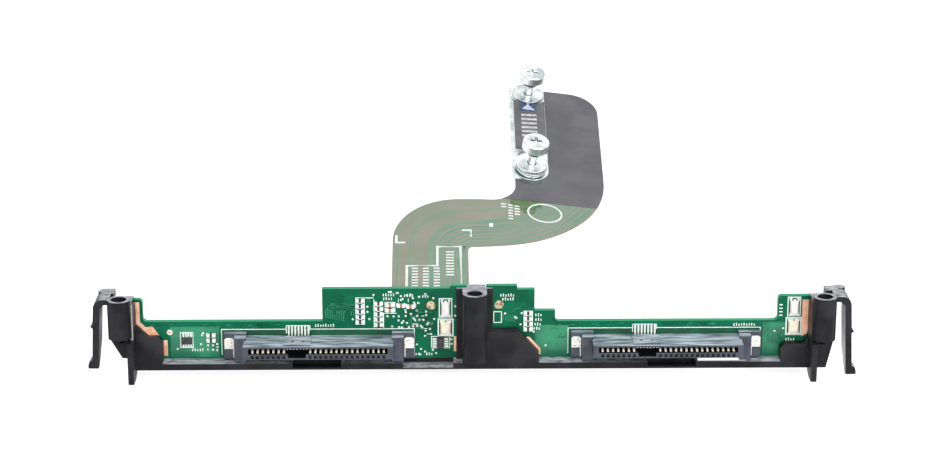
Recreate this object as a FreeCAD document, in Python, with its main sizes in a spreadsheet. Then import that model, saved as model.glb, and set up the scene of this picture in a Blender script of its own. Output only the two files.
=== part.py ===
import FreeCAD, Part
import math
import os
import Sketcher

# Drive backplane board: a moulded bracket holds an upright board with two drive receptacles, and a
# flexible printed tail runs back and up from the board to a screw-down connector.
# Millimetres. The origin is on the centre post's bore axis, level with the underside of the bracket's
# floor. +X runs along the board to the right, +Y goes back from the drives, and +Z is up along the posts.

document = FreeCAD.newDocument("drive_backplane_board")
sheet = document.addObject("Spreadsheet::Sheet", "Sizes")


class Size:
    """A number of millimetres or degrees, with the expression that works it out from the sheet."""

    def __init__(self, number, text):
        self.number = float(number)
        self.text = text

    def __add__(self, other):
        other = as_size(other)
        return Size(self.number + other.number, "(%s + %s)" % (self.text, other.text))

    def __sub__(self, other):
        other = as_size(other)
        return Size(self.number - other.number, "(%s - %s)" % (self.text, other.text))

    def __mul__(self, other):
        other = as_size(other)
        return Size(self.number * other.number, "(%s * %s)" % (self.text, other.text))

    def __truediv__(self, other):
        other = as_size(other)
        return Size(self.number / other.number, "(%s / %s)" % (self.text, other.text))

    def __radd__(self, other):
        return as_size(other) + self

    def __rsub__(self, other):
        return as_size(other) - self

    def __rmul__(self, other):
        return as_size(other) * self

    def __neg__(self):
        return Size(-self.number, "(-%s)" % self.text)

    def __float__(self):
        return self.number


def as_size(value):
    if isinstance(value, Size):
        return value
    return Size(value, "(%.6f)" % value)


sheet_rows = []


def size(alias, number, note):
    """Keep one driving dimension in the sheet, and give it back for the model to use."""
    sheet_rows.append(alias)
    row = len(sheet_rows)
    sheet.set("A%d" % row, alias)
    sheet.set("B%d" % row, str(number))
    sheet.set("C%d" % row, note)
    sheet.setAlias("B%d" % row, alias)
    return Size(number, "Sizes.%s" % alias)


# Posts, all upright and bored through for the screws that hold the assembly down
left_post_x = size("left_post_x", -85.65, "axis of the left post along the board")
right_post_x = size("right_post_x", 84.6, "axis of the right post along the board")
side_post_diameter = size("side_post_diameter", 5.7, "outside of a side post")
center_post_diameter = size("center_post_diameter", 5.9, "outside of the centre post")
screw_bore = size("screw_bore", 3.8, "bore through each post")
side_rim = size("side_rim", 19.0, "height of a side post's rim")
center_rim = size("center_rim", 20.15, "height of the centre post's rim")
left_post_foot = size("left_post_foot", 9.3, "height of the left post's lower end")
right_post_foot = size("right_post_foot", 8.2, "height of the right post's lower end")
center_post_foot = size("center_post_foot", 3.0, "height of the centre post's lower end")
web_drop = size("web_drop", 1.15, "top of a side post's web below its rim")
slot_front = size("slot_front", 3.15, "front of the slot behind the centre post's bore")
slot_back = size("slot_back", 4.35, "back of that slot")
slot_depth = size("slot_depth", 3.0, "depth of that slot")
bore_overrun = size("bore_overrun", 1.0, "how far each bore's cut runs past its post")

# Board
board_front = size("board_front", 6.0, "front face of the board, behind the post axes")
board_thickness = size("board_thickness", 1.6, "rigid board")
board_left = size("board_left", -88.3, "left end of the board")
board_cut_x = size("board_cut_x", -83.4, "lower end of the slanted cut at the board's left end")
board_cut_z = size("board_cut_z", 8.6, "upper end of that cut")
board_right = size("board_right", 87.0, "right end of the board")
left_tab_edge = size("left_tab_edge", -80.8, "inner edge of the board's left tab")
left_tab_top = size("left_tab_top", 16.9, "top of the board's left tab")
left_band_top = size("left_band_top", 11.15, "top of the low band on the left")
tall_left = size("tall_left", -37.1, "left edge of the tall part")
tall_top = size("tall_top", 19.45, "top of the tall part")
crest_left = size("crest_left", -5.9, "left edge of the crest behind the centre post")
crest_top = size("crest_top", 20.1, "top of the crest")
crest_right = size("crest_right", 10.4, "right edge of the crest")
crest_notch = size("crest_notch", 1.4, "depth of the notch in the crest under the clip")
crest_notch_play = size("crest_notch_play", 0.15, "play between that notch and the clip")
shoulder_right = size("shoulder_right", 14.65, "right edge of the shoulder beside the crest")
shoulder_top = size("shoulder_top", 19.1, "top of the shoulder")
step_right = size("step_right", 19.7, "right edge of the low step")
step_top = size("step_top", 13.65, "top of the low step")
right_band_top = size("right_band_top", 10.9, "top of the low band on the right")
right_tab_edge = size("right_tab_edge", 74.1, "inner edge of the board's right tab")
right_tab_top = size("right_tab_top", 17.2, "top of the board's right tab")
board_corner = size("board_corner", 1.0, "radius in the routed corners")
pad_thickness = size("pad_thickness", 0.05, "bare copper standing on the board's face")

# Bracket
floor_thickness = size("floor_thickness", 1.6, "ledge that the board stands on")
beam_front = size("beam_front", 2.0, "front face of the ledge, clear of the screws")
floor_back = size("floor_back", 8.8, "back edge of the ledge")
rear_lip = size("rear_lip", 1.4, "height of the lip behind the board's foot")
board_clearance = size("board_clearance", 0.1, "play between the board and the lips behind it")
panel_lip = size("panel_lip", 1.1, "thickness of the front panels at their top")
slope_foot = size("slope_foot", 2.2, "height at which the panels start to lean back")
slope_head = size("slope_head", 8.2, "height at which the panels reach their top thickness")
fin_thickness = size("fin_thickness", 1.4, "fin beside each side post, which runs down into a leg")
left_fin_step = size("left_fin_step", 0.4, "how far the left fin stands past its post")
right_fin_step = size("right_fin_step", 0.25, "how far the right fin stands past its post")
rib_thickness = size("rib_thickness", 0.7, "upper part of a fin, where it is a thin rib")
rib_inset = size("rib_inset", 0.1, "inner face of that rib behind the fin's")
rib_front = size("rib_front", -0.3, "front edge of that rib")
rib_top = size("rib_top", 17.8, "top of that rib at its front")
rib_back_top = size("rib_back_top", 16.1, "top of that rib at the board")
fin_drop = size("fin_drop", 0.6, "top of the full fin below its post's foot")
leg_foot = size("leg_foot", -1.9, "lower end of the legs")
leg_back = size("leg_back", 1.0, "back edge of a leg at its lower end")
flange_width = size("flange_width", 8.9, "flange behind the centre post")
flange_top = size("flange_top", 19.7, "top of the flange behind the centre post")
clip_thickness = size("clip_thickness", 0.85, "clips that hook over the board's top edge")
clip_lip = size("clip_lip", 1.3, "how far a clip reaches down behind the board")
clip_reach = size("clip_reach", 0.95, "thickness of a clip's lip behind the board")
left_clip_left = size("left_clip_left", -89.7, "left side of the left clip")
left_clip_right = size("left_clip_right", -87.5, "right side of the left clip")
right_clip_left = size("right_clip_left", 85.5, "left side of the right clip")
right_clip_right = size("right_clip_right", 88.6, "right side of the right clip")
center_clip_x = size("center_clip_x", 0.45, "middle of the clip at the centre post")
center_clip_width = size("center_clip_width", 4.5, "width of the clip at the centre post")
left_gusset_x = size("left_gusset_x", -85.6, "lower corner of the left gusset")
left_gusset_z = size("left_gusset_z", 3.2, "lower edge of the left gusset")
right_gusset_x = size("right_gusset_x", 85.8, "lower corner of the right gusset")
gusset_drop = size("gusset_drop", 1.0, "upright stretch of a gusset below its post")
gusset_slit_width = size("gusset_slit_width", 1.6, "dark slit in a gusset under its post")
gusset_slit_height = size("gusset_slit_height", 0.5, "height of that slit")
gusset_slit_drop = size("gusset_slit_drop", 1.65, "top of that slit below the post's foot")
gusset_slit_depth = size("gusset_slit_depth", 1.2, "depth of that slit")

# Front panels, and the bare copper that shows round them
left_panel_edge = size("left_panel_edge", -76.0, "inner edge of the left panel")
right_panel_edge = size("right_panel_edge", 74.7, "inner edge of the right panel")
left_panel_top = size("left_panel_top", 7.7, "top of the left panel")
right_panel_top = size("right_panel_top", 5.6, "top of the right panel")
center_panel_edge = size("center_panel_edge", 15.7, "right edge of the panel beside the centre post")
center_panel_top = size("center_panel_top", 9.3, "top of that panel")
center_slant_run = size("center_slant_run", 5.2, "width of that panel's slanted side")
center_slant_foot = size("center_slant_foot", 3.5, "lower end of that slanted side")
panel_shoulder = size("panel_shoulder", 3.4, "rise of a side panel beside its fin")
panel_corner = size("panel_corner", 1.1, "cut corner of a side panel")
copper_margin = size("copper_margin", 0.6, "copper showing round a panel")
left_strip_edge = size("left_strip_edge", -81.55, "right edge of the copper beside the left rib")
left_land_bend = size("left_land_bend", 11.1, "where that copper turns to the right")
left_land_dip_x = size("left_land_dip_x", -80.2, "low point of its upper edge")
left_land_dip_z = size("left_land_dip_z", 9.75, "height of that low point")
left_land_hump_x = size("left_land_hump_x", -78.6, "high point of its upper edge")
left_land_hump_z = size("left_land_hump_z", 9.95, "height of that high point")
left_land_tip_x = size("left_land_tip_x", -77.1, "right end of the copper over the left panel")
left_land_tip_z = size("left_land_tip_z", 7.85, "height of that end")
side_strip_top = size("side_strip_top", 16.2, "top of the copper beside the ribs")
right_strip_edge = size("right_strip_edge", 80.1, "left edge of the copper beside the right rib")
right_strip_low = size("right_strip_low", 6.7, "lower end of that copper at its left edge")
right_strip_rise = size("right_strip_rise", 1.3, "slant of that lower end")
outer_strip_low = size("outer_strip_low", 2.3, "lower end of the strip past a panel's edge")
outer_strip_top = size("outer_strip_top", 6.4, "upper end of the strip past the left panel")
outer_strip_edge = size("outer_strip_edge", 0.95, "how far that strip stands past the panel")
center_land_x = size("center_land_x", 12.5, "left end of the copper on the centre panel's slant")
center_land_z = size("center_land_z", 6.85, "top of that copper")
center_land_flat = size("center_land_flat", 1.0, "width of its level top")
center_land_edge = size("center_land_edge", 16.2, "right edge of that copper")
center_land_turn = size("center_land_turn", 3.8, "where that copper turns upright")
post_strip_low = size("post_strip_low", 3.2, "lower end of the copper beside the centre post")
post_strip_top = size("post_strip_top", 7.1, "upper end of that copper")
land_overlap = size("land_overlap", 1.0, "how far the copper runs in under a panel or a rib")
panel_overlap = size("panel_overlap", 0.5, "how far a panel runs into its fin")
left_test_x = size("left_test_x", -10.6, "test land left of the centre post")
right_test_x = size("right_test_x", 6.0, "test land right of the centre post")
left_test_z = size("left_test_z", 15.1, "height of the left test land")
right_test_z = size("right_test_z", 15.2, "height of the right test land")
test_land_diameter = size("test_land_diameter", 2.2, "round gold test land")

# Latch arms at the two ends
strap_thickness = size("strap_thickness", 1.3, "strap from each side post out to its latch arm")
strap_drop = size("strap_drop", 0.1, "top of the strap below the post's rim")
arm_thickness = size("arm_thickness", 1.45, "latch arm")
arm_depth = size("arm_depth", 6.0, "latch arm, front to back")
left_arm_gap = size("left_arm_gap", 1.85, "space between the left post and the head of its latch arm")
right_arm_gap = size("right_arm_gap", 2.05, "space between the right post and the head of its latch arm")
arm_lean = size("arm_lean", 0.85, "how far an arm leans out from its head to its foot")
arm_taper_top = size("arm_taper_top", 5.7, "height over its foot at which an arm starts to narrow")
arm_taper_back = size("arm_taper_back", 1.9, "back edge of an arm at its foot")
arm_bend = size("arm_bend", 2.2, "outer radius of the bend at an arm's head")
arm_hook = size("arm_hook", 1.05, "how far the foot's hook stands out")
arm_hook_height = size("arm_hook_height", 1.8, "height of the foot's hook")
arm_nub = size("arm_nub", 0.6, "how far the nub on an arm's outer face stands out")
nub_rise = size("nub_rise", 0.7, "height of the nub's slope")
nub_drop = size("nub_drop", 0.35, "height of the nub's underside")
hook_slope = size("hook_slope", 0.35, "slope on the hook's upper side")
hook_corner = size("hook_corner", 0.3, "cut corner of the hook")
arm_haunch = size("arm_haunch", 1.0, "cut corner between strap and arm")
strap_root = size("strap_root", 0.4, "how far a strap runs into its post")
left_arm_foot = size("left_arm_foot", 1.35, "lower end of the left arm")
right_arm_foot = size("right_arm_foot", -1.0, "lower end of the right arm")
left_nub_height = size("left_nub_height", 12.0, "height of the left arm's nub")
right_nub_height = size("right_nub_height", 10.0, "height of the right arm's nub")
tongue_radius = size("tongue_radius", 1.5, "round end of the strap behind each side post")
tongue_inset = size("tongue_inset", 0.3, "round end inside the arm's outer face")
left_tongue_y = size("left_tongue_y", 6.9, "centre of the left strap's round end")
right_tongue_y = size("right_tongue_y", 7.9, "centre of the right strap's round end")

# Gaps and windows in the ledge
low_ledge_left = size("low_ledge_left", -17.5, "left end of the lowered ledge beside the centre post")
low_ledge_right = size("low_ledge_right", -5.2, "right end of the lowered ledge")
low_ledge_depth = size("low_ledge_depth", 1.2, "how far that stretch is lowered")
notch_depth = size("notch_depth", 1.1, "dark notch in the ledge under each receptacle")
notch_back = size("notch_back", 4.8, "back of those notches")
left_notch_x = size("left_notch_x", -38.5, "middle of the left notch")
right_notch_x = size("right_notch_x", 48.1, "middle of the right notch")
notch_width = size("notch_width", 11.8, "width of the notches")
window_left = size("window_left", 54.6, "left end of the window through the ledge")
window_right = size("window_right", 67.0, "right end of the window")
window_front = size("window_front", 2.9, "front edge of the window")
tail_clearance = size("tail_clearance", 0.5, "opening in the ledge round the tail")
opening_front = size("opening_front", 0.3, "front of that opening behind the board's face")
cut_margin = size("cut_margin", 1.0, "how far cuts start outside the part")

# Drive receptacles
left_drive_x = size("left_drive_x", -37.9, "middle of the left receptacle's row of contacts")
right_drive_x = size("right_drive_x", 46.8, "middle of the right receptacle's row of contacts")
signal_contacts = 7
key_positions = 4
upper_contacts = 7
shell_width = size("shell_width", 36.3, "receptacle between its ears")
shell_reach = size("shell_reach", 8.5, "how far a receptacle stands off the board")
shell_bottom = size("shell_bottom", 4.3, "underside of the receptacle")
shell_top = size("shell_top", 7.5, "top of the receptacle")
slot_wall = size("slot_wall", 1.3, "wall at each end of the slot for the drive's tongue")
contact_inset = size("contact_inset", 2.2, "least room from the shell's end to the last contact's middle")
slot_bottom = size("slot_bottom", 5.65, "lower wall of the slot")
slot_height = size("slot_height", 1.45, "height of the slot")
contact_pitch = size("contact_pitch", 1.27, "pitch of the main contacts")
contact_width = size("contact_width", 0.5, "width of a main contact")
contact_gauge = size("contact_gauge", 0.25, "thickness of the contact strip")
upper_pitch = size("upper_pitch", 0.8, "pitch of the upper contacts over the key")
upper_width = size("upper_width", 0.34, "width of an upper contact")
upper_tail_top = size("upper_tail_top", 9.8, "upper end of the tails on the board")
foot_bottom = size("foot_bottom", 3.6, "lower end of the main contacts' feet")
contact_front = size("contact_front", 0.6, "tip of a contact behind the slot's mouth")
arch_back = size("arch_back", 2.7, "back of a main contact's arch from its tip")
arch_crest = size("arch_crest", 1.2, "crest of the arch from its tip")
arch_rise = size("arch_rise", 0.65, "rise of the arch")
tip_lift = size("tip_lift", 0.1, "tip above the slot's lower wall")
upper_front = size("upper_front", 0.6, "tip of an upper contact from the main contacts' tips")
upper_bend = size("upper_bend", 1.8, "where an upper contact turns down towards its tip")
upper_dip = size("upper_dip", 0.35, "how far its tip dips")
contact_play = size("contact_play", 0.05, "play between the contacts' feet and the housing")
key_width = size("key_width", 4.3, "key opening in the lower wall")
key_wall = size("key_wall", 0.4, "wall under the key opening")
key_back = size("key_back", 3.0, "back of the key opening off the board")
mouth_notch_width = size("mouth_notch_width", 0.76, "square notch under each main contact")
mouth_notch_depth = size("mouth_notch_depth", 0.8, "depth of those notches")
mouth_notch_low = size("mouth_notch_low", 0.25, "wall under those notches")
mouth_notch_high = size("mouth_notch_high", 0.25, "wall over those notches")
relief_width = size("relief_width", 5.9, "opening round the upper contacts' tails")
relief_play = size("relief_play", 0.2, "play in front of those tails")
raised_pad_width = size("raised_pad_width", 6.6, "raised pad over the key")
raised_pad_front = size("raised_pad_front", 1.0, "raised pad behind the slot's mouth")
raised_pad_back = size("raised_pad_back", 0.8, "raised pad off the board")
raised_pad_rise = size("raised_pad_rise", 0.2, "raised pad above the shell")
dimple_width = size("dimple_width", 0.75, "square dimples in the raised pad")
dimple_spacing = size("dimple_spacing", 2.6, "spacing of the dimples")
dimple_back = size("dimple_back", 4.6, "back edge of the dimples off the board")
dimple_depth = size("dimple_depth", 0.35, "depth of the dimples")
ear_width = size("ear_width", 5.05, "ear at each end of a receptacle")
ear_bottom = size("ear_bottom", 2.0, "underside of the ears")
ear_top = size("ear_top", 8.5, "top of the ears")
ear_reach = size("ear_reach", 1.6, "how far the outer part of an ear stands off the board")
ear_overlap = size("ear_overlap", 0.4, "how far an ear runs into the shell")
column_drop = size("column_drop", 0.4, "top of a guide column below its ear")
column_width = size("column_width", 2.45, "guide column beside the slot")
column_reach = size("column_reach", 3.9, "how far the guide columns stand off the board")
tab_gauge = size("tab_gauge", 0.25, "hold-down tab")
tab_blade = size("tab_blade", 0.3, "upright edge of a hold-down tab")
tab_gap = size("tab_gap", 0.15, "space between that edge and its guide column")
tab_foot = size("tab_foot", 0.4, "lower end of a tab above its ear's underside")
tab_low = size("tab_low", 2.9, "lower edge of a tab's wide part above the ear's underside")
tab_top = size("tab_top", 5.2, "top of a tab above the ear's underside")
tab_margin = size("tab_margin", 0.1, "outer edge of a tab inside its ear's")

# Lamps and small parts on the board
lamp_width = size("lamp_width", 2.0, "clear lamp")
lamp_height = size("lamp_height", 4.0, "clear lamp")
lamp_depth = size("lamp_depth", 1.3, "clear lamp off the board")
amber_width = size("amber_width", 2.5, "amber lamp")
amber_height = size("amber_height", 3.3, "amber lamp")
amber_depth = size("amber_depth", 1.1, "amber lamp off the board")
case_share = size("case_share", 0.55, "part of a lamp's depth that is its case")
lens_width_share = size("lens_width_share", 0.8, "lens width as a part of the lamp's")
lens_height_share = size("lens_height_share", 0.68, "lens height as a part of the lamp's")
left_lamp_x = size("left_lamp_x", -7.05, "middle of the lamps beside the centre post")
right_lamp_x = size("right_lamp_x", 78.1, "middle of the lamps on the right tab")
lamp_z = size("lamp_z", 14.4, "height of the clear lamps")
amber_z = size("amber_z", 9.3, "height of the amber lamps")
chip_width = size("chip_width", 1.7, "chip part")
chip_height = size("chip_height", 0.85, "chip part")
chip_depth = size("chip_depth", 0.5, "chip part off the board")
package_depth = size("package_depth", 0.95, "leaded package off the board")
lead_reach = size("lead_reach", 0.9, "how far a package's leads stand out")
leads_in_row = 4
lead_width = size("lead_width", 0.34, "width of a lead")
lead_pitch = size("lead_pitch", 0.62, "pitch of the leads")
lead_gauge = size("lead_gauge", 0.25, "thickness of a lead")
package_standoff = size("package_standoff", 0.08, "package off the board")
left_package_x = size("left_package_x", -70.2, "middle of the left package")
left_package_z = size("left_package_z", 6.4, "height of the left package")
center_package_x = size("center_package_x", -8.3, "middle of the centre package")
center_package_z = size("center_package_z", 5.5, "height of the centre package")
package_long = size("package_long", 2.55, "long side of a package")
package_short = size("package_short", 1.65, "short side of a package")
chip_pitch = size("chip_pitch", 1.37, "pitch of the chip parts in a column")
chip_side_gap = size("chip_side_gap", 3.3, "middle of the left pair of chips past the receptacle's ear")
column_1_x = size("column_1_x", -27.9, "first column of resistors")
column_1_z = size("column_1_z", 10.9, "lowest resistor of the first column")
column_2_x = size("column_2_x", -23.4, "second column of resistors")
column_2_z = size("column_2_z", 10.2, "lowest resistor of the second column")
column_3_x = size("column_3_x", 13.1, "third column of resistors")
column_3_z = size("column_3_z", 8.9, "lowest resistor of the third column")
left_pair_z = size("left_pair_z", 6.3, "lower resistor of the left pair")
cap_pair_x = size("cap_pair_x", -20.6, "pair of capacitors")
cap_pair_z = size("cap_pair_z", 14.0, "lower capacitor of the pair")
cap_left_x = size("cap_left_x", -17.9, "single capacitor beside the pair")
cap_left_z = size("cap_left_z", 15.2, "height of that capacitor")
cap_right_x = size("cap_right_x", -15.6, "last capacitor")
cap_right_z = size("cap_right_z", 14.95, "height of that capacitor")
cap_depth = size("cap_depth", 0.75, "capacitor off the board")

# Flexible tail. Its own frame starts where the bend under the board ends.
tail_slope = size("tail_slope", 21.8, "climb of the tail, in degrees")
tail_roll = size("tail_roll", 8.45, "how far the connector end is rolled to the right, in degrees")
tail_gauge = size("tail_gauge", 0.3, "thickness of the flexible circuit")
tail_bend = size("tail_bend", 1.5, "middle radius of the bend under the board")
tail_drop = size("tail_drop", 0.2, "straight run below the board before the bend")
leg_left = size("leg_left", -20.75, "left edge of the tail's straight leg")
leg_right = size("leg_right", -0.95, "right edge of the tail's straight leg")
outer_sweep = size("outer_sweep", 39.7, "radius of the sweep's long outer curve")
outer_turn = size("outer_turn", 28.5, "radius of the curve from there into the right edge")
outer_turn_y = size("outer_turn_y", 76.0, "where that curve meets the right edge")
sweep_blend = size("sweep_blend", 40.0, "angle, in degrees, that the tighter curve takes up")
end_right = size("end_right", 36.45, "right edge of the connector end")
leg_notch = size("leg_notch", 1.35, "curve between the leg and the sweep")
inner_sweep = size("inner_sweep", 17.2, "radius of the edge over the leg")
shoulder_line = size("shoulder_line", 63.35, "straight edge between the two upper curves")
neck_radius = size("neck_radius", 7.0, "curve up into the connector end")
end_left = size("end_left", 12.1, "left edge of the connector end")
end_top = size("end_top", 115.4, "far edge of the connector end")
end_corner = size("end_corner", 8.0, "radius of the far right corner")
roll_start = size("roll_start", 0.0, "where the roll begins")
roll_run = size("roll_run", 11.0, "width over which the tail rolls")
film_start = size("film_start", 64.2, "cut edge of the dark film")
film_gauge = size("film_gauge", 0.1, "thickness of the dark film")

# Connector end, in the frame of its rolled plane: x from the end of the roll, y up the slope
plate_left = size("plate_left", 0.15, "left edge of the backing plate")
plate_width = size("plate_width", 10.0, "width of the backing plate")
plate_gauge = size("plate_gauge", 1.6, "thickness of the backing plate")
seat_rise = size("seat_rise", 1.2, "raised middle of the plate, which carries the label")
seat_left = size("seat_left", 0.75, "left edge of that middle from the plate's edge")
seat_right = size("seat_right", 0.25, "right edge of that middle from the plate's edge")
plate_end = size("plate_end", 113.3, "far end of the backing plate")
lower_screw_y = size("lower_screw_y", 76.3, "lower captive screw")
upper_screw_y = size("upper_screw_y", 108.4, "upper captive screw")
label_gauge = size("label_gauge", 0.08, "thickness of the label")
label_margin = size("label_margin", 0.1, "bare edge round the label")
label_clearance = size("label_clearance", 0.6, "space round the upper ferrule, across")
label_start = size("label_start", 82.7, "lower edge of the raised middle")
label_end = size("label_end", 106.3, "upper edge of the raised middle")
end_board_gauge = size("end_board_gauge", 0.8, "thickness of the end board under the tail")
end_board_width = size("end_board_width", 22.0, "width of the end board")
end_board_inset = size("end_board_inset", 1.2, "left edge of the end board from the plate's")
end_board_reach = size("end_board_reach", 4.4, "lower edge of the end board below the lower screw")
ferrule_diameter = size("ferrule_diameter", 8.6, "flange of a ferrule")
ferrule_height = size("ferrule_height", 2.2, "ferrule above the plate")
ferrule_shank = size("ferrule_shank", 5.2, "ferrule through the plate")
ferrule_groove = size("ferrule_groove", 0.3, "grooves round a ferrule")
groove_diameter = size("groove_diameter", 7.5, "bottom of those grooves")
flange_gauge = size("flange_gauge", 0.8, "top flange of a ferrule")
ferrule_waist = size("ferrule_waist", 2.5, "narrow bore at the top of a ferrule")
waist_length = size("waist_length", 1.0, "length of the narrow bore")
ferrule_bore = size("ferrule_bore", 3.4, "bore below the narrow part")
press_clearance = size("press_clearance", 0.05, "hole clearance round a ferrule")
head_diameter = size("head_diameter", 7.2, "head of a captive screw")
head_height = size("head_height", 2.5, "head of a captive screw")
head_chamfer = size("head_chamfer", 0.3, "chamfer round a head's top")
drive_width = size("drive_width", 0.7, "arms of the cross recess in a head")
drive_length = size("drive_length", 3.2, "length of those arms")
drive_depth = size("drive_depth", 1.3, "depth of the recess")
head_rise = size("head_rise", 4.95, "underside of a raised head above its ferrule")
shank_diameter = size("shank_diameter", 2.2, "shank of a captive screw")
thread_diameter = size("thread_diameter", 3.0, "thread of a captive screw")
thread_length = size("thread_length", 4.0, "thread of a captive screw")
shoulder_gap = size("shoulder_gap", 0.1, "thread below the narrow bore when raised")
collar_diameter = size("collar_diameter", 4.0, "dark collar under a head")
collar_height = size("collar_height", 1.6, "dark collar under a head")
collar_bore = size("collar_bore", 2.4, "bore of the collar")
running_gap = size("running_gap", 0.05, "collar below the head")
socket_width = size("socket_width", 6.4, "connector under the plate")
socket_length = size("socket_length", 22.0, "connector under the plate")
socket_height = size("socket_height", 4.2, "connector under the plate")
socket_wall = size("socket_wall", 0.9, "wall of that connector")
socket_pitch = size("socket_pitch", 2.0, "pitch of its contacts")
socket_floor = size("socket_floor", 1.0, "floor of the socket")
socket_tongue = size("socket_tongue", 1.6, "tongue inside the socket")
tongue_gap = size("tongue_gap", 2.4, "tongue's ends inside the socket's ends")
tongue_drop = size("tongue_drop", 0.6, "tongue's edge inside the socket's rim")
tongue_root = size("tongue_root", 0.5, "how far the tongue runs into the floor")
pin_gauge = size("pin_gauge", 0.2, "thickness of a contact in the socket")
pin_width = size("pin_width", 0.4, "width of a contact in the socket")
pin_drop = size("pin_drop", 0.9, "contact's end inside the socket's rim")
pins_in_row = 9

document.recompute()

# Heights and depths that follow from the sizes above
board_back = board_front + board_thickness
board_foot = floor_thickness
panel_back = board_front - pad_thickness
slot_top = slot_bottom + slot_height
slot_width = shell_width - 2 * slot_wall
shell_face = board_front - shell_reach
side_radius = side_post_diameter / 2
center_radius = center_post_diameter / 2

parts = []


def bind(item, name, value):
    item.setExpression(name, as_size(value).text)


def new_body(label):
    """Start a sub-part that is built up from sketches."""
    item = document.addObject("PartDesign::Body", label)
    item.Label = label
    item.AllowCompound = True
    parts.append(item)
    return item


def origin_feature(item, role):
    return next(feature for feature in item.Origin.OriginFeatures if feature.Role == role)


def sketch_on(item, name, role, offset):
    sketch = item.newObject("Sketcher::SketchObject", name + "_sketch")
    sketch.AttachmentSupport = [(origin_feature(item, role), "")]
    sketch.MapMode = "FlatFace"
    bind(sketch, "AttachmentOffset.Base.z", offset)
    return sketch


def hold(sketch, kind, edge, point, value):
    """Tie one coordinate of a sketch point to a size, measured from the sketch's origin."""
    index = sketch.addConstraint(Sketcher.Constraint(kind, -1, 1, edge, point, float(value)))
    bind(sketch, "Constraints[%d]" % index, value)


def draw_polygon(sketch, corners):
    first = sketch.GeometryCount
    count = len(corners)
    corners = [(as_size(across), as_size(up)) for across, up in corners]
    for number in range(count):
        here = corners[number]
        there = corners[(number + 1) % count]
        start = FreeCAD.Vector(float(here[0]), float(here[1]), 0)
        end = FreeCAD.Vector(float(there[0]), float(there[1]), 0)
        sketch.addGeometry(Part.LineSegment(start, end))
    for number in range(count):
        joined = first + (number + 1) % count
        sketch.addConstraint(Sketcher.Constraint("Coincident", first + number, 2, joined, 1))
    for number, (across, up) in enumerate(corners):
        hold(sketch, "DistanceX", first + number, 1, across)
        hold(sketch, "DistanceY", first + number, 1, up)


def draw_circle(sketch, across, up, diameter):
    edge = sketch.GeometryCount
    across, up, diameter = as_size(across), as_size(up), as_size(diameter)
    center = FreeCAD.Vector(float(across), float(up), 0)
    sketch.addGeometry(Part.Circle(center, FreeCAD.Vector(0, 0, 1), float(diameter) / 2))
    hold(sketch, "DistanceX", edge, 3, across)
    hold(sketch, "DistanceY", edge, 3, up)
    index = sketch.addConstraint(Sketcher.Constraint("Diameter", edge, float(diameter)))
    bind(sketch, "Constraints[%d]" % index, diameter)


def rectangle(left, low, right, high):
    return [(left, low), (right, low), (right, high), (left, high)]


def add_layer(item, name, role, low, high, polygons=(), circles=(), cut=False):
    """Pad or pocket closed outlines between two heights, depths or sides of the part."""
    low, high = as_size(low), as_size(high)
    offset = -high if role == "XZ_Plane" else low
    sketch = sketch_on(item, name, role, offset)
    for corners in polygons:
        draw_polygon(sketch, corners)
    for circle in circles:
        draw_circle(sketch, *circle)
    if cut:
        document.recompute()
        before = item.Shape.Volume
        feature = item.newObject("PartDesign::Pocket", name)
        feature.Reversed = True
    else:
        feature = item.newObject("PartDesign::Pad", name)
    feature.Profile = sketch
    bind(feature, "Length", high - low)
    document.recompute()
    if cut and item.Shape.Volume >= before - 1e-9:
        raise ValueError("%s of %s takes nothing away" % (name, item.Label))
    return feature


def add_block(item, name, xs, ys, zs, cut=False):
    """Pad or pocket a block between two sides, two depths and two heights."""
    outline = rectangle(xs[0], ys[0], xs[1], ys[1])
    return add_layer(item, name, "XY_Plane", zs[0], zs[1], [outline], cut=cut)


def repeat_along(item, name, feature, role, count, pitch):
    pattern = item.newObject("PartDesign::LinearPattern", name)
    pattern.Originals = [feature]
    pattern.Direction = (origin_feature(item, role), [""])
    bind(pattern, "Length", pitch * (count - 1))
    pattern.Occurrences = count
    item.Tip = pattern
    document.recompute()


def turn_profile(item, name, corners):
    """Turn a profile, given as radius and height, round the sub-part's own Z axis."""
    sketch = sketch_on(item, name, "XZ_Plane", 0)
    draw_polygon(sketch, corners)
    feature = item.newObject("PartDesign::Revolution", name)
    feature.Profile = sketch
    feature.ReferenceAxis = (origin_feature(item, "Z_Axis"), [""])
    feature.Angle = 360
    document.recompute()


def round_edges(item, name, radius, corners):
    """Fillet the edges that run front to back through the given corners, as x and height."""
    base = item.Tip
    names = []
    for number, edge in enumerate(base.Shape.Edges):
        if edge.Curve.TypeId != "Part::GeomLine" or abs(edge.tangentAt(edge.FirstParameter).y) < 0.999:
            continue
        middle = edge.BoundBox.Center
        if any(math.hypot(middle.x - float(x), middle.z - float(z)) < 0.02 for x, z in corners):
            names.append("Edge%d" % (number + 1))
    if len(names) != len(corners):
        raise ValueError("%s of %s finds %d edges" % (name, item.Label, len(names)))
    feature = item.newObject("PartDesign::Fillet", name)
    feature.Base = (base, names)
    bind(feature, "Radius", radius)
    document.recompute()


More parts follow.
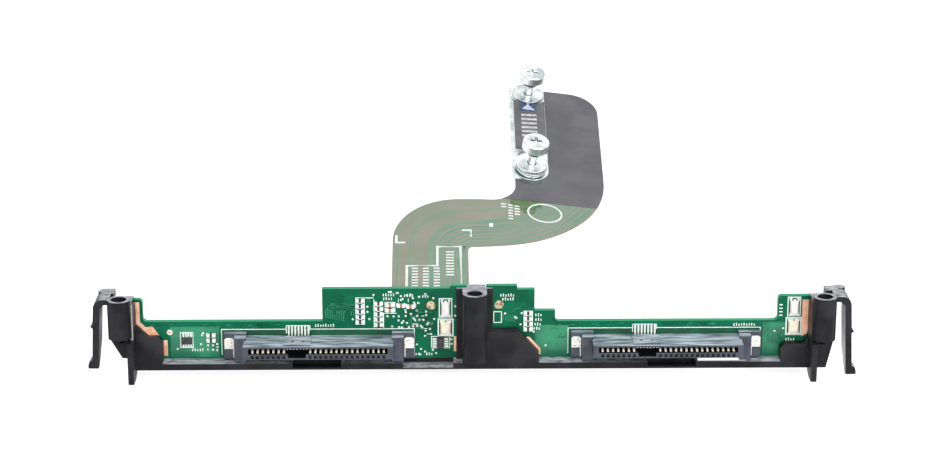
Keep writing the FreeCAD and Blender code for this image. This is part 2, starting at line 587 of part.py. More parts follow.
# Main board: stepped outline, with tabs behind the side posts and a crest behind the centre post
main_board = new_body("main_board")
clip_notch_left = center_clip_x - center_clip_width / 2 - crest_notch_play
clip_notch_right = center_clip_x + center_clip_width / 2 + crest_notch_play
board_outline = [
    (board_cut_x, board_foot), (board_right, board_foot), (board_right, right_tab_top),
    (right_tab_edge, right_tab_top), (right_tab_edge, right_band_top), (step_right, right_band_top),
    (step_right, step_top), (shoulder_right, step_top), (shoulder_right, shoulder_top),
    (crest_right, shoulder_top), (crest_right, crest_top), (clip_notch_right, crest_top),
    (clip_notch_right, crest_top - crest_notch), (clip_notch_left, crest_top - crest_notch),
    (clip_notch_left, crest_top), (crest_left, crest_top),
    (crest_left, tall_top), (tall_left, tall_top), (tall_left, left_band_top),
    (left_tab_edge, left_band_top), (left_tab_edge, left_tab_top), (board_left, left_tab_top),
    (board_left, board_cut_z)]
add_layer(main_board, "laminate", "XZ_Plane", board_front, board_back, [board_outline])
round_edges(main_board, "routed_corners", board_corner, [
    (right_tab_edge, right_band_top), (step_right, right_band_top), (left_tab_edge, left_band_top),
    (left_tab_edge, left_tab_top), (right_tab_edge, right_tab_top)])

# Bare copper lands on the board's face, where the bracket's panels seat, with the round test lands
left_fin_inner = left_post_x + side_radius + left_fin_step
right_fin_inner = right_post_x - side_radius - right_fin_step
left_fin_outer = left_fin_inner - fin_thickness
right_fin_outer = right_fin_inner + fin_thickness


def side_panel(fin, edge, top, shoulder):
    """Outline of a panel between a fin and its free edge."""
    inward = 1 if float(edge) > float(fin) else -1
    return [
        (fin, board_foot), (edge, board_foot), (edge, top - panel_corner),
        (edge - inward * panel_corner, top), (fin + inward * shoulder, top), (fin, top + shoulder)]


left_land_root = left_fin_inner - land_overlap
right_land_root = right_fin_inner + land_overlap
left_land = [
    (left_land_root, side_strip_top), (left_strip_edge, side_strip_top), (left_strip_edge, left_land_bend),
    (left_land_dip_x, left_land_dip_z), (left_land_hump_x, left_land_hump_z),
    (left_land_tip_x, left_land_tip_z), (left_land_tip_x, left_panel_top - land_overlap),
    (left_land_root, left_panel_top - land_overlap)]
left_outer_land = rectangle(left_panel_edge - land_overlap, outer_strip_low,
                            left_panel_edge + outer_strip_edge, outer_strip_top)
right_land = [
    (right_strip_edge, side_strip_top), (right_strip_edge, right_strip_low),
    (right_land_root, right_strip_low + right_strip_rise), (right_land_root, side_strip_top)]
center_land = [
    (center_land_x - land_overlap, outer_strip_low), (center_land_edge, outer_strip_low),
    (center_land_edge, center_land_turn), (center_land_x + center_land_flat, center_land_z),
    (center_land_x, center_land_z), (center_land_x - land_overlap, center_land_z - land_overlap)]
post_land = rectangle(-flange_width / 2 - copper_margin, post_strip_low, -flange_width / 2 + land_overlap,
                      post_strip_top)
ground_lands = new_body("ground_lands")
add_layer(ground_lands, "lands", "XZ_Plane", panel_back, board_front,
          [left_land, left_outer_land, center_land, right_land, post_land])

test_lands = new_body("test_lands")
add_layer(test_lands, "rounds", "XZ_Plane", panel_back, board_front, circles=[
    (left_test_x, left_test_z, test_land_diameter), (right_test_x, right_test_z, test_land_diameter)])

# Bracket: one moulding with the ledge, the three bored posts, the front panels, the fins that run
# down into legs, the clips over the board's top edge and a latch arm at each end
bracket = new_body("bracket")
add_block(bracket, "ledge", (left_fin_outer, right_fin_outer), (beam_front, floor_back),
          (0, floor_thickness))
add_block(bracket, "rear_lip", (left_fin_outer, right_fin_outer),
          (board_back + board_clearance, floor_back), (0, floor_thickness + rear_lip))
left_panel = side_panel(left_fin_inner - panel_overlap, left_panel_edge, left_panel_top, panel_shoulder)
right_panel = side_panel(right_fin_inner + panel_overlap, right_panel_edge, right_panel_top,
                         panel_shoulder / 2)
center_panel = [
    (0, board_foot), (center_panel_edge, board_foot), (center_panel_edge, center_slant_foot),
    (center_panel_edge - center_slant_run, center_panel_top), (0, center_panel_top)]
for panel_name, panel_outline in (("left_panel", left_panel), ("right_panel", right_panel),
                                  ("center_panel", center_panel)):
    add_layer(bracket, panel_name, "XZ_Plane", beam_front, panel_back, [panel_outline])
lean = [(beam_front - cut_margin, slope_foot), (beam_front, slope_foot),
        (panel_back - panel_lip, slope_head), (panel_back - panel_lip, side_rim),
        (beam_front - cut_margin, side_rim)]
add_layer(bracket, "panel_lean", "YZ_Plane", left_fin_outer, right_fin_outer, [lean], cut=True)

posts = [("left", left_post_x, side_radius, left_post_foot, side_rim, side_rim - web_drop),
         ("center", Size(0, "0"), center_radius, center_post_foot, center_rim, center_rim),
         ("right", right_post_x, side_radius, right_post_foot, side_rim, side_rim - web_drop)]
for post_name, post_x, radius, foot, rim, web_top in posts:
    add_layer(bracket, post_name + "_post", "XY_Plane", foot, rim, circles=[(post_x, 0, 2 * radius)])
    add_block(bracket, post_name + "_web", (post_x - radius, post_x + radius), (0, panel_back),
              (foot, web_top))
add_block(bracket, "center_flange", (-flange_width / 2, flange_width / 2),
          (panel_back - panel_lip, panel_back), (0, flange_top))
add_block(bracket, "center_foot", (-center_radius, center_radius), (beam_front, panel_back),
          (0, center_post_foot))

# Fins beside the side posts, narrowing below the ledge into legs
fins = [("left", left_fin_outer, left_fin_inner, left_post_foot, left_fin_inner - rib_inset - rib_thickness),
        ("right", right_fin_inner, right_fin_outer, right_post_foot, right_fin_inner + rib_inset)]
for fin_name, fin_left, fin_right, foot, rib_left in fins:
    fin_top = foot - fin_drop
    fin = [(-side_radius, leg_foot), (leg_back, leg_foot), (panel_back, 0), (panel_back, fin_top),
           (-side_radius, fin_top)]
    rib = [(rib_front, floor_thickness), (panel_back, floor_thickness), (panel_back, rib_back_top),
           (rib_front, rib_top)]
    add_layer(bracket, fin_name + "_fin", "YZ_Plane", fin_left, fin_right, [fin])
    add_layer(bracket, fin_name + "_rib", "YZ_Plane", rib_left, rib_left + rib_thickness, [rib])

# Gussets under the side posts, behind the bores
left_gusset = [(left_post_x - side_radius, left_post_foot),
               (left_post_x - side_radius, left_post_foot - gusset_drop),
               (left_gusset_x, left_gusset_z), (left_fin_inner, left_gusset_z),
               (left_fin_inner, left_post_foot)]
right_gusset = [(right_fin_inner, right_post_foot), (right_fin_inner, 0), (right_gusset_x, 0),
                (right_post_x + side_radius, right_post_foot - gusset_drop),
                (right_post_x + side_radius, right_post_foot)]
add_layer(bracket, "left_gusset", "XZ_Plane", beam_front, panel_back, [left_gusset])
add_layer(bracket, "right_gusset", "XZ_Plane", beam_front, panel_back, [right_gusset])
for slit_name, post_x, foot in (("left_slit", left_post_x, left_post_foot),
                                ("right_slit", right_post_x, right_post_foot)):
    slit_top = foot - gusset_slit_drop
    add_block(bracket, slit_name, (post_x - gusset_slit_width / 2, post_x + gusset_slit_width / 2),
              (beam_front - cut_margin, beam_front + gusset_slit_depth),
              (slit_top - gusset_slit_height, slit_top), cut=True)

# Clips: each reaches back over the board's top edge and down behind it
clip_back = board_back + board_clearance + clip_reach
clips = [("center_clip", center_clip_x - center_clip_width / 2, center_clip_x + center_clip_width / 2,
          crest_top - crest_notch, crest_top - crest_notch + clip_thickness),
         ("left_clip", left_clip_left, left_clip_right, left_tab_top, side_rim - strap_drop),
         ("right_clip", right_clip_left, right_clip_right, right_tab_top, side_rim - strap_drop)]
for clip_name, clip_left, clip_right, edge_top, clip_top in clips:
    over = edge_top + pad_thickness
    inner = board_back + board_clearance
    front = panel_back - panel_lip
    hook = [(front, over), (inner, over), (inner, over - clip_lip), (clip_back, over - clip_lip),
            (clip_back, clip_top), (front, clip_top)]
    add_layer(bracket, clip_name, "YZ_Plane", clip_left, clip_right, [hook])


def latch_arm(side, post_side, gap, foot, nub):
    """Strap, bend, leaning arm, nub and foot hook of one end, as an outline seen from the front."""
    top = side_rim - strap_drop
    root = post_side - side * strap_root
    inner = post_side + side * gap
    outer = inner + side * arm_thickness
    low_inner = inner + side * arm_lean
    low_outer = outer + side * arm_lean
    mid_outer = outer + side * (arm_lean / 2)
    return [
        (root, top), (outer, top), (mid_outer, nub + nub_rise), (mid_outer + side * arm_nub, nub),
        (mid_outer, nub - nub_drop), (low_outer, foot + arm_hook_height + hook_slope),
        (low_outer + side * (arm_hook - hook_corner), foot + arm_hook_height),
        (low_outer + side * arm_hook, foot + arm_hook_height / 2), (low_outer + side * arm_hook, foot),
        (low_inner, foot), (inner, top - strap_thickness - arm_haunch),
        (inner - side * arm_haunch, top - strap_thickness), (root, top - strap_thickness)]


arm_back = panel_back - pad_thickness
strap_top = side_rim - strap_drop
ends = [("left", -1, left_post_x - side_radius, left_arm_gap, left_arm_foot, left_nub_height,
         left_tongue_y),
        ("right", 1, right_post_x + side_radius, right_arm_gap, right_arm_foot, right_nub_height,
         right_tongue_y)]
for end_name, side, post_side, gap, foot, nub, tongue_y in ends:
    arm_outline = latch_arm(side, post_side, gap, foot, nub)
    add_layer(bracket, end_name + "_latch", "XZ_Plane", arm_back - arm_depth, arm_back, [arm_outline])
    head_x = post_side + side * (gap + arm_thickness)
    round_edges(bracket, end_name + "_bend", arm_bend, [(head_x, strap_top)])
    taper = [(arm_back + cut_margin, foot + arm_taper_top), (arm_back, foot + arm_taper_top),
             (arm_taper_back, foot), (arm_taper_back, foot - cut_margin),
             (arm_back + cut_margin, foot - cut_margin)]
    tip = head_x + side * (arm_lean + arm_hook + cut_margin)
    sides = (tip, post_side + side * gap) if side < 0 else (post_side + side * gap, tip)
    add_layer(bracket, end_name + "_taper", "YZ_Plane", sides[0], sides[1], [taper], cut=True)
    tongue_x = head_x - side * (tongue_radius + tongue_inset)
    add_layer(bracket, end_name + "_tongue", "XY_Plane", strap_top - strap_thickness, strap_top,
              circles=[(tongue_x, tongue_y, 2 * tongue_radius)])

# Bores, open at both ends, with the slot behind the centre post's bore and the low step behind that
for post_name, post_x, radius, foot, rim, web_top in posts:
    add_layer(bracket, post_name + "_bore", "XY_Plane", foot - bore_overrun, rim + bore_overrun,
              circles=[(post_x, 0, screw_bore)], cut=True)
add_block(bracket, "back_slot", (center_clip_x - screw_bore / 2, center_clip_x + screw_bore / 2),
          (slot_front, slot_back), (center_rim - slot_depth, center_rim + cut_margin), cut=True)
add_block(bracket, "back_step", (-center_radius - cut_margin, center_radius + cut_margin),
          (slot_back, panel_back), (flange_top, center_rim + cut_margin), cut=True)

# Gaps in the ledge: the lowered stretch, the notches under the receptacles, the window, and the
# opening that the tail comes down through
add_block(bracket, "low_ledge", (low_ledge_left, low_ledge_right), (beam_front - cut_margin, panel_back),
          (floor_thickness - low_ledge_depth, floor_thickness), cut=True)
for notch_name, notch_x in (("left_notch", left_notch_x), ("right_notch", right_notch_x)):
    add_block(bracket, notch_name, (notch_x - notch_width / 2, notch_x + notch_width / 2),
              (beam_front - cut_margin, notch_back), (floor_thickness - notch_depth, floor_thickness),
              cut=True)
ledge_heights = (-cut_margin, floor_thickness + rear_lip + cut_margin)
add_block(bracket, "window", (window_left, window_right), (window_front, floor_back + cut_margin),
          ledge_heights, cut=True)
add_block(bracket, "tail_opening", (leg_left - tail_clearance, leg_right + tail_clearance),
          (board_front + opening_front, floor_back + cut_margin), ledge_heights, cut=True)


# Receptacles: each housing stands off the board with its slot facing the drive, over a key opening,
# between ears that carry the hold-down tabs
def drive_receptacle(side_name, drive_x):
    positions = 1 + int(float(shell_width - 2 * contact_inset) / float(contact_pitch))
    power_contacts = positions - signal_contacts - key_positions
    first_contact = drive_x - contact_pitch * ((positions - 1) / 2)
    power_contact = first_contact + contact_pitch * (signal_contacts + key_positions)
    key_x = first_contact + contact_pitch * (signal_contacts + (key_positions - 1) / 2)
    rows = [("signal", first_contact, signal_contacts), ("power", power_contact, power_contacts)]
    half_shell = shell_width / 2

    housing = new_body(side_name + "_drive_housing")
    add_block(housing, "shell", (drive_x - half_shell, drive_x + half_shell), (shell_face, board_front),
              (shell_bottom, shell_top))
    pad_top = shell_top + raised_pad_rise
    add_block(housing, "raised_pad", (key_x - raised_pad_width / 2, key_x + raised_pad_width / 2),
              (shell_face + raised_pad_front, board_front - raised_pad_back), (slot_top, pad_top))
    for ear_name, side in (("left_ear", -1), ("right_ear", 1)):
        inner = drive_x + side * (half_shell - ear_overlap)
        outer = drive_x + side * (half_shell + ear_width)
        column = drive_x + side * (half_shell + column_width)
        ear = rectangle(inner, ear_bottom, outer, ear_top)
        guide = rectangle(inner, ear_bottom, column, ear_top - column_drop)
        add_layer(housing, ear_name, "XZ_Plane", board_front - ear_reach, board_front, [ear])
        add_layer(housing, ear_name + "_column", "XZ_Plane", board_front - column_reach,
                  board_front - ear_reach, [guide])
    add_block(housing, "slot", (drive_x - slot_width / 2, drive_x + slot_width / 2),
              (shell_face - cut_margin, board_front + cut_margin), (slot_bottom, slot_top), cut=True)
    add_block(housing, "key_opening", (key_x - key_width / 2, key_x + key_width / 2),
              (shell_face - cut_margin, board_front - key_back), (shell_bottom + key_wall, slot_top),
              cut=True)
    add_block(housing, "foot_relief", (drive_x - slot_width / 2, drive_x + slot_width / 2),
              (board_front - contact_gauge - contact_play, board_front + cut_margin),
              (shell_bottom - cut_margin, slot_bottom), cut=True)
    add_block(housing, "tail_relief", (key_x - relief_width / 2, key_x + relief_width / 2),
              (board_front - contact_gauge - relief_play, board_front + cut_margin),
              (slot_top, pad_top + cut_margin), cut=True)
    dimples = []
    for side in (-1, 1):
        dimple_x = key_x + side * dimple_spacing / 2
        dimples.append(rectangle(dimple_x - dimple_width / 2, board_front - dimple_back - dimple_width,
                                 dimple_x + dimple_width / 2, board_front - dimple_back))
    add_layer(housing, "pad_dimples", "XY_Plane", pad_top - dimple_depth, pad_top + cut_margin, dimples,
              cut=True)
    for row_name, start, count in rows:
        notch = add_block(housing, row_name + "_notch",
                          (start - mouth_notch_width / 2, start + mouth_notch_width / 2),
                          (shell_face - cut_margin, shell_face + mouth_notch_depth),
                          (shell_bottom + mouth_notch_low, slot_bottom - mouth_notch_high), cut=True)
        repeat_along(housing, row_name + "_notches", notch, "X_Axis", count, contact_pitch)

    # Main contacts: a sprung tongue in the slot, a run along its lower wall and a foot on the board
    contacts = new_body(side_name + "_main_contacts")
    front = shell_face + contact_front
    seat = slot_bottom + contact_gauge
    strip = [
        (board_front, foot_bottom), (board_front, seat), (front + arch_back, seat),
        (front + arch_crest, seat + arch_rise), (front, slot_bottom + tip_lift),
        (front + arch_crest, slot_bottom + arch_rise), (front + arch_back, slot_bottom),
        (board_front - contact_gauge, slot_bottom), (board_front - contact_gauge, foot_bottom)]
    for row_name, start, count in rows:
        blade = add_layer(contacts, row_name + "_contact", "YZ_Plane", start - contact_width / 2,
                          start + contact_width / 2, [strip])
        repeat_along(contacts, row_name + "_row", blade, "X_Axis", count, contact_pitch)

    # Upper contacts: under the slot's upper wall over the key, with tails that climb the board
    uppers = new_body(side_name + "_upper_contacts")
    run_low = slot_top - contact_gauge
    upper_tip = front + upper_front
    upper_strip = [
        (board_front, upper_tail_top), (board_front - contact_gauge, upper_tail_top),
        (board_front - contact_gauge, slot_top), (upper_tip + upper_bend, slot_top),
        (upper_tip, slot_top - upper_dip), (upper_tip, run_low - upper_dip),
        (upper_tip + upper_bend, run_low), (board_front, run_low)]
    first_upper = key_x - upper_pitch * ((upper_contacts - 1) / 2)
    tongue = add_layer(uppers, "upper_contact", "YZ_Plane", first_upper - upper_width / 2,
                       first_upper + upper_width / 2, [upper_strip])
    repeat_along(uppers, "upper_row", tongue, "X_Axis", upper_contacts, upper_pitch)

    # Hold-down tabs: bent strip on each ear, soldered to the board
    tabs = new_body(side_name + "_hold_downs")
    outlines = []
    for side in (-1, 1):
        inner = drive_x + side * (half_shell + column_width + tab_gap)
        blade = inner + side * tab_blade
        outer = drive_x + side * (half_shell + ear_width - tab_margin)
        outlines.append([
            (inner, ear_bottom + tab_foot), (blade, ear_bottom + tab_foot), (blade, ear_bottom + tab_low),
            (outer, ear_bottom + tab_low), (outer, ear_bottom + tab_top), (inner, ear_bottom + tab_top)])
    tab_face = board_front - ear_reach
    add_layer(tabs, "tabs", "XZ_Plane", tab_face - tab_gauge, tab_face, outlines)


drive_receptacle("left", left_drive_x)
drive_receptacle("right", right_drive_x)


# Lamps: a clear one above an amber one, beside the centre post and on the right tab
def lamp(label, x, z, width, height, depth):
    item = new_body(label)
    case_face = board_front - case_share * depth
    half_lens = lens_width_share * width / 2
    lens_rise = lens_height_share * height / 2
    add_block(item, "case", (x - width / 2, x + width / 2), (case_face, board_front),
              (z - height / 2, z + height / 2))
    add_block(item, "lens", (x - half_lens, x + half_lens), (board_front - depth, case_face),
              (z - lens_rise, z + lens_rise))


for lamp_side, lamp_x in (("left", left_lamp_x), ("right", right_lamp_x)):
    lamp(lamp_side + "_clear_lamp", lamp_x, lamp_z, lamp_width, lamp_height, lamp_depth)
    lamp(lamp_side + "_amber_lamp", lamp_x, amber_z, amber_width, amber_height, amber_depth)


# Small packages with leads, each lead a separate solid against the package
def leaded_chip(label, x, z, width, height, upright):
    item = new_body(label)
    add_block(item, "package", (x - width / 2, x + width / 2),
              (board_front - package_depth, board_front - package_standoff), (z - height / 2, z + height / 2))
    leads = []
    for number in range(leads_in_row):
        shift = lead_pitch * (number - (leads_in_row - 1) / 2)
        low, high = shift - lead_width / 2, shift + lead_width / 2
        for side in (-1, 1):
            if upright:
                edge = z + side * height / 2
                leads.append(rectangle(x + low, edge, x + high, edge + side * lead_reach))
            else:
                edge = x + side * width / 2
                leads.append(rectangle(edge, z + low, edge + side * lead_reach, z + high))
    add_layer(item, "leads", "XZ_Plane", board_front - lead_gauge, board_front, leads)


leaded_chip("left_driver_chip", left_package_x, left_package_z, package_long, package_short, True)
leaded_chip("center_driver_chip", center_package_x, center_package_z, package_short, package_long, False)


def chip_columns(label, columns, depth):
    """Columns of chip parts, given as x, the lowest part's height and the number in the column."""
    item = new_body(label)
    outlines = []
    for x, low, count in columns:
        for number in range(count):
            z = low + chip_pitch * number
            outlines.append(rectangle(x - chip_width / 2, z - chip_height / 2,
                                      x + chip_width / 2, z + chip_height / 2))
    add_layer(item, "chips", "XZ_Plane", board_front - depth, board_front, outlines)


left_pair_x = left_drive_x - shell_width / 2 - ear_width - chip_side_gap
chip_columns("chip_resistors", [(column_1_x, column_1_z, 5), (column_2_x, column_2_z, 5),
                                (column_3_x, column_3_z, 4), (left_pair_x, left_pair_z, 2)], chip_depth)
chip_columns("chip_capacitors", [(cap_pair_x, cap_pair_z, 2), (cap_left_x, cap_left_z, 1),
                                 (cap_right_x, cap_right_z, 1)], cap_depth)

# Frame of the flexible tail: it leaves the board's lower edge, bends back, and climbs at the slope
slope = math.radians(float(tail_slope))
roll = math.radians(float(tail_roll))
gauge = float(tail_gauge)
bend = float(tail_bend)
board_middle = float(board_front) + float(board_thickness) / 2
bend_y = board_middle + bend
bend_z = float(board_foot) - float(tail_drop)
slope_start = FreeCAD.Vector(0, bend_y + bend * math.sin(slope), bend_z - bend * math.cos(slope))
slope_turn = FreeCAD.Rotation(FreeCAD.Vector(1, 0, 0), float(tail_slope))
tail_frame = FreeCAD.Placement(slope_start, slope_turn)
roll_radius = float(roll_run) / math.sin(roll)
roll_end = FreeCAD.Vector(float(roll_start) + float(roll_run), 0, -roll_radius * (1 - math.cos(roll)))
roll_turn = FreeCAD.Rotation(FreeCAD.Vector(0, 1, 0), float(tail_roll))
to_tail = FreeCAD.Placement(roll_end, roll_turn)
plate_frame = tail_frame.multiply(to_tail)
prism_reach = 40.0  # half the height of the solids that trim the tail's layers


def tail_sheet(low, high, start, end):
    """A layer of the tail between two heights over its middle, flat, then rolled, then flat again."""
    left = float(leg_left) - float(cut_margin)
    begin = float(roll_start)
    center = FreeCAD.Vector(begin, 0, -roll_radius)

    def edge_points(height):
        radius = roll_radius + height
        middle = FreeCAD.Vector(math.sin(roll / 2), 0, math.cos(roll / 2)) * radius + center
        last = FreeCAD.Vector(math.sin(roll), 0, math.cos(roll)) * radius + center
        far = last + FreeCAD.Vector(math.cos(roll), 0, -math.sin(roll)) * prism_reach
        return [FreeCAD.Vector(left, 0, height), FreeCAD.Vector(begin, 0, height), middle, last, far]

    top = edge_points(high)
    base = edge_points(low)
    edges = [
        Part.LineSegment(top[0], top[1]), Part.Arc(top[1], top[2], top[3]), Part.LineSegment(top[3], top[4]),
        Part.LineSegment(top[4], base[4]), Part.LineSegment(base[4], base[3]),
        Part.Arc(base[3], base[2], base[1]), Part.LineSegment(base[1], base[0]),
        Part.LineSegment(base[0], top[0])]
    section = Part.Face(Part.Wire([edge.toShape() for edge in edges]))
    section.translate(FreeCAD.Vector(0, start, 0))
    return section.extrude(FreeCAD.Vector(0, end - start, 0))


def tail_prism():
    """The tail's outline, seen square to its slope: a leg, an S sweep and the connector end."""
    sweep = float(outer_sweep)
    turn = float(outer_turn)
    over = float(inner_sweep)
    shoulder = float(shoulder_line)
    neck = float(neck_radius)
    notch = float(leg_notch)
    left, right = float(leg_left), float(leg_right)
    neck_x, edge_x = float(end_left), float(end_right)
    top = float(end_top)
    corner = float(end_corner)
    blend = float(sweep_blend)

    def at(x, y):
        return FreeCAD.Vector(x, y, -prism_reach)

    def around(center, radius, angle):
        angle = math.radians(angle)
        return center + FreeCAD.Vector(math.cos(angle), math.sin(angle), 0) * radius

    def bow(center, radius, start, end):
        return Part.Arc(around(center, radius, start), around(center, radius, (start + end) / 2),
                        around(center, radius, end))

    turn_center = at(edge_x - turn, float(outer_turn_y))
    sweep_center = around(turn_center, turn - sweep, -blend)
    sweep_start = -math.degrees(math.acos((right + notch - sweep_center.x) / sweep))
    sweep_foot = around(sweep_center, sweep, sweep_start).y
    edges = [
        Part.LineSegment(at(right, 0), at(right, sweep_foot - notch)),
        bow(at(right + notch, sweep_foot - notch), notch, 180, 90),
        bow(sweep_center, sweep, sweep_start, -blend),
        bow(turn_center, turn, -blend, 0),
        Part.LineSegment(at(edge_x, turn_center.y), at(edge_x, top - corner)),
        bow(at(edge_x - corner, top - corner), corner, 0, 90),
        Part.LineSegment(at(edge_x - corner, top), at(neck_x, top)),
        Part.LineSegment(at(neck_x, top), at(neck_x, shoulder + neck)),
        bow(at(neck_x - neck, shoulder + neck), neck, 0, -90),
        Part.LineSegment(at(neck_x - neck, shoulder), at(left + over, shoulder)),
        bow(at(left + over, shoulder - over), over, 90, 180),
        Part.LineSegment(at(left, shoulder - over), at(left, 0)),
        Part.LineSegment(at(left, 0), at(right, 0))]
    face = Part.Face(Part.Wire([edge.toShape() for edge in edges]))
    return face.extrude(FreeCAD.Vector(0, 0, 2 * prism_reach))


plate_x = plate_left + plate_width / 2
shank_hole = ferrule_shank + 2 * press_clearance


def ferrule_holes():
    """Clearance for both ferrule shanks, in the tail's frame."""
    holes = []
    for screw_y in (lower_screw_y, upper_screw_y):
        hole = Part.makeCylinder(float(shank_hole) / 2, prism_reach,
                                 FreeCAD.Vector(float(plate_x), float(screw_y), -prism_reach / 2))
        hole.Placement = to_tail
        holes.append(hole)
    return holes


def new_feature(label, shape, placement):
    item = document.addObject("Part::Feature", label)
    item.Label = label
    item.Shape = shape
    item.Placement = placement
    parts.append(item)


# Flexible tail: the bend under the board, the climbing leg, the sweep and the rolled connector end
def flexible_tail():
    layer = tail_sheet(-gauge / 2, gauge / 2, 0, float(end_top) + float(cut_margin))
    body = layer.common(tail_prism())
    for hole in ferrule_holes():
        body = body.cut(hole)
    inner = bend - gauge / 2
    outer = bend + gauge / 2
    center = tail_frame.inverse().multVec(FreeCAD.Vector(0, bend_y, bend_z))
    stub_end = tail_frame.inverse().multVec(FreeCAD.Vector(0, bend_y, float(board_foot)))
    up = (stub_end - center).normalize()
    back = FreeCAD.Vector(0, up.z, -up.y) * -1
    half_turn = math.radians(90 + float(tail_slope)) / 2
    middle = back * math.cos(half_turn) - up * math.sin(half_turn)
    last = FreeCAD.Vector(0, 0, -1)
    rise = up * float(tail_drop)
    outline = [
        Part.LineSegment(center + back * inner + rise, center + back * inner),
        Part.Arc(center + back * inner, center + middle * inner, center + last * inner),
        Part.LineSegment(center + last * inner, center + last * outer),
        Part.Arc(center + last * outer, center + middle * outer, center + back * outer),
        Part.LineSegment(center + back * outer, center + back * outer + rise),
        Part.LineSegment(center + back * outer + rise, center + back * inner + rise)]
    face = Part.Face(Part.Wire([edge.toShape() for edge in outline]))
    face.translate(FreeCAD.Vector(float(leg_left), 0, 0))
    j_bend = face.extrude(FreeCAD.Vector(float(leg_right) - float(leg_left), 0, 0))
    return body.fuse(j_bend).removeSplitter()


new_feature("flex_tail", flexible_tail(), tail_frame)


def dark_film():
    low = gauge / 2
    layer = tail_sheet(low, low + float(film_gauge), float(film_start), float(end_top) + float(cut_margin))
    body = layer.common(tail_prism())
    for hole in ferrule_holes():
        body = body.cut(hole)
    return body


new_feature("cover_film", dark_film(), tail_frame)

# Backing plate: bright metal bar with one round end and a raised middle, drilled for the ferrules
plate_base = tail_gauge / 2 + film_gauge
plate_top = plate_base + plate_gauge
backing_plate = new_body("backing_plate")
add_layer(backing_plate, "bar", "XY_Plane", plate_base, plate_top,
          [rectangle(plate_left, lower_screw_y, plate_left + plate_width, plate_end)])
add_layer(backing_plate, "round_end", "XY_Plane", plate_base, plate_top,
          circles=[(plate_x, lower_screw_y, plate_width)])
seat_outline = rectangle(plate_left + seat_left, label_start, plate_left + plate_width - seat_right,
                         label_end)
seat_top = plate_top + seat_rise
add_layer(backing_plate, "raised_middle", "XY_Plane", plate_top, seat_top, [seat_outline])
ferrule_room = ferrule_diameter + label_clearance
add_layer(backing_plate, "ferrule_room", "XY_Plane", plate_top, seat_top + cut_margin,
          circles=[(plate_x, upper_screw_y, ferrule_room)], cut=True)
add_layer(backing_plate, "ferrule_holes", "XY_Plane", plate_base - cut_margin, plate_top + cut_margin,
          circles=[(plate_x, lower_screw_y, shank_hole), (plate_x, upper_screw_y, shank_hole)], cut=True)

# Label on the plate's raised middle, cut away round the upper ferrule
plate_label = new_body("plate_label")
add_layer(plate_label, "label", "XY_Plane", seat_top, seat_top + label_gauge,
          [rectangle(plate_left + seat_left + label_margin, label_start + label_margin,
                     plate_left + plate_width - seat_right - label_margin, label_end - label_margin)])
add_layer(plate_label, "ferrule_cut", "XY_Plane", seat_top - cut_margin, seat_top + cut_margin,
          circles=[(plate_x, upper_screw_y, ferrule_room + 2 * label_margin)], cut=True)

# End board: stiff board laminated under the tail's end
end_board = new_body("end_board")
end_board_top = -tail_gauge / 2
end_board_foot = end_board_top - end_board_gauge
add_layer(end_board, "laminate", "XY_Plane", end_board_foot, end_board_top,
          [rectangle(plate_left + end_board_inset, lower_screw_y - end_board_reach,
                     plate_left + end_board_width, plate_end)])
add_layer(end_board, "ferrule_holes", "XY_Plane", end_board_foot - cut_margin, end_board_top + cut_margin,
          circles=[(plate_x, lower_screw_y, shank_hole), (plate_x, upper_screw_y, shank_hole)], cut=True)

# Connector under the end board: an open-topped socket with two rows of contacts
socket_y = (lower_screw_y + upper_screw_y) / 2
socket = new_body("mezzanine_housing")
socket_foot = end_board_foot - socket_height
add_block(socket, "case", (plate_x - socket_width / 2, plate_x + socket_width / 2),
          (socket_y - socket_length / 2, socket_y + socket_length / 2), (socket_foot, end_board_foot))
half_cavity = socket_width / 2 - socket_wall
add_block(socket, "cavity", (plate_x - half_cavity, plate_x + half_cavity),
          (socket_y - socket_length / 2 + socket_wall, socket_y + socket_length / 2 - socket_wall),
          (socket_foot - cut_margin, end_board_foot - socket_floor), cut=True)
add_block(socket, "tongue", (plate_x - socket_tongue / 2, plate_x + socket_tongue / 2),
          (socket_y - socket_length / 2 + tongue_gap, socket_y + socket_length / 2 - tongue_gap),
          (socket_foot + tongue_drop, end_board_foot - socket_floor + tongue_root))
pins = new_body("mezzanine_contacts")
first_pin = socket_y - socket_pitch * ((pins_in_row - 1) / 2)
for row_name, pin_left in (("left", plate_x - socket_tongue / 2 - pin_gauge),
                           ("right", plate_x + socket_tongue / 2)):
    pin = add_block(pins, row_name + "_pin", (pin_left, pin_left + pin_gauge),
                    (first_pin - pin_width / 2, first_pin + pin_width / 2),
                    (socket_foot + pin_drop, end_board_foot - socket_floor))
    repeat_along(pins, row_name + "_pins", pin, "Y_Axis", pins_in_row, socket_pitch)

for item in (backing_plate, plate_label, end_board, socket, pins):
    item.Placement = plate_frame


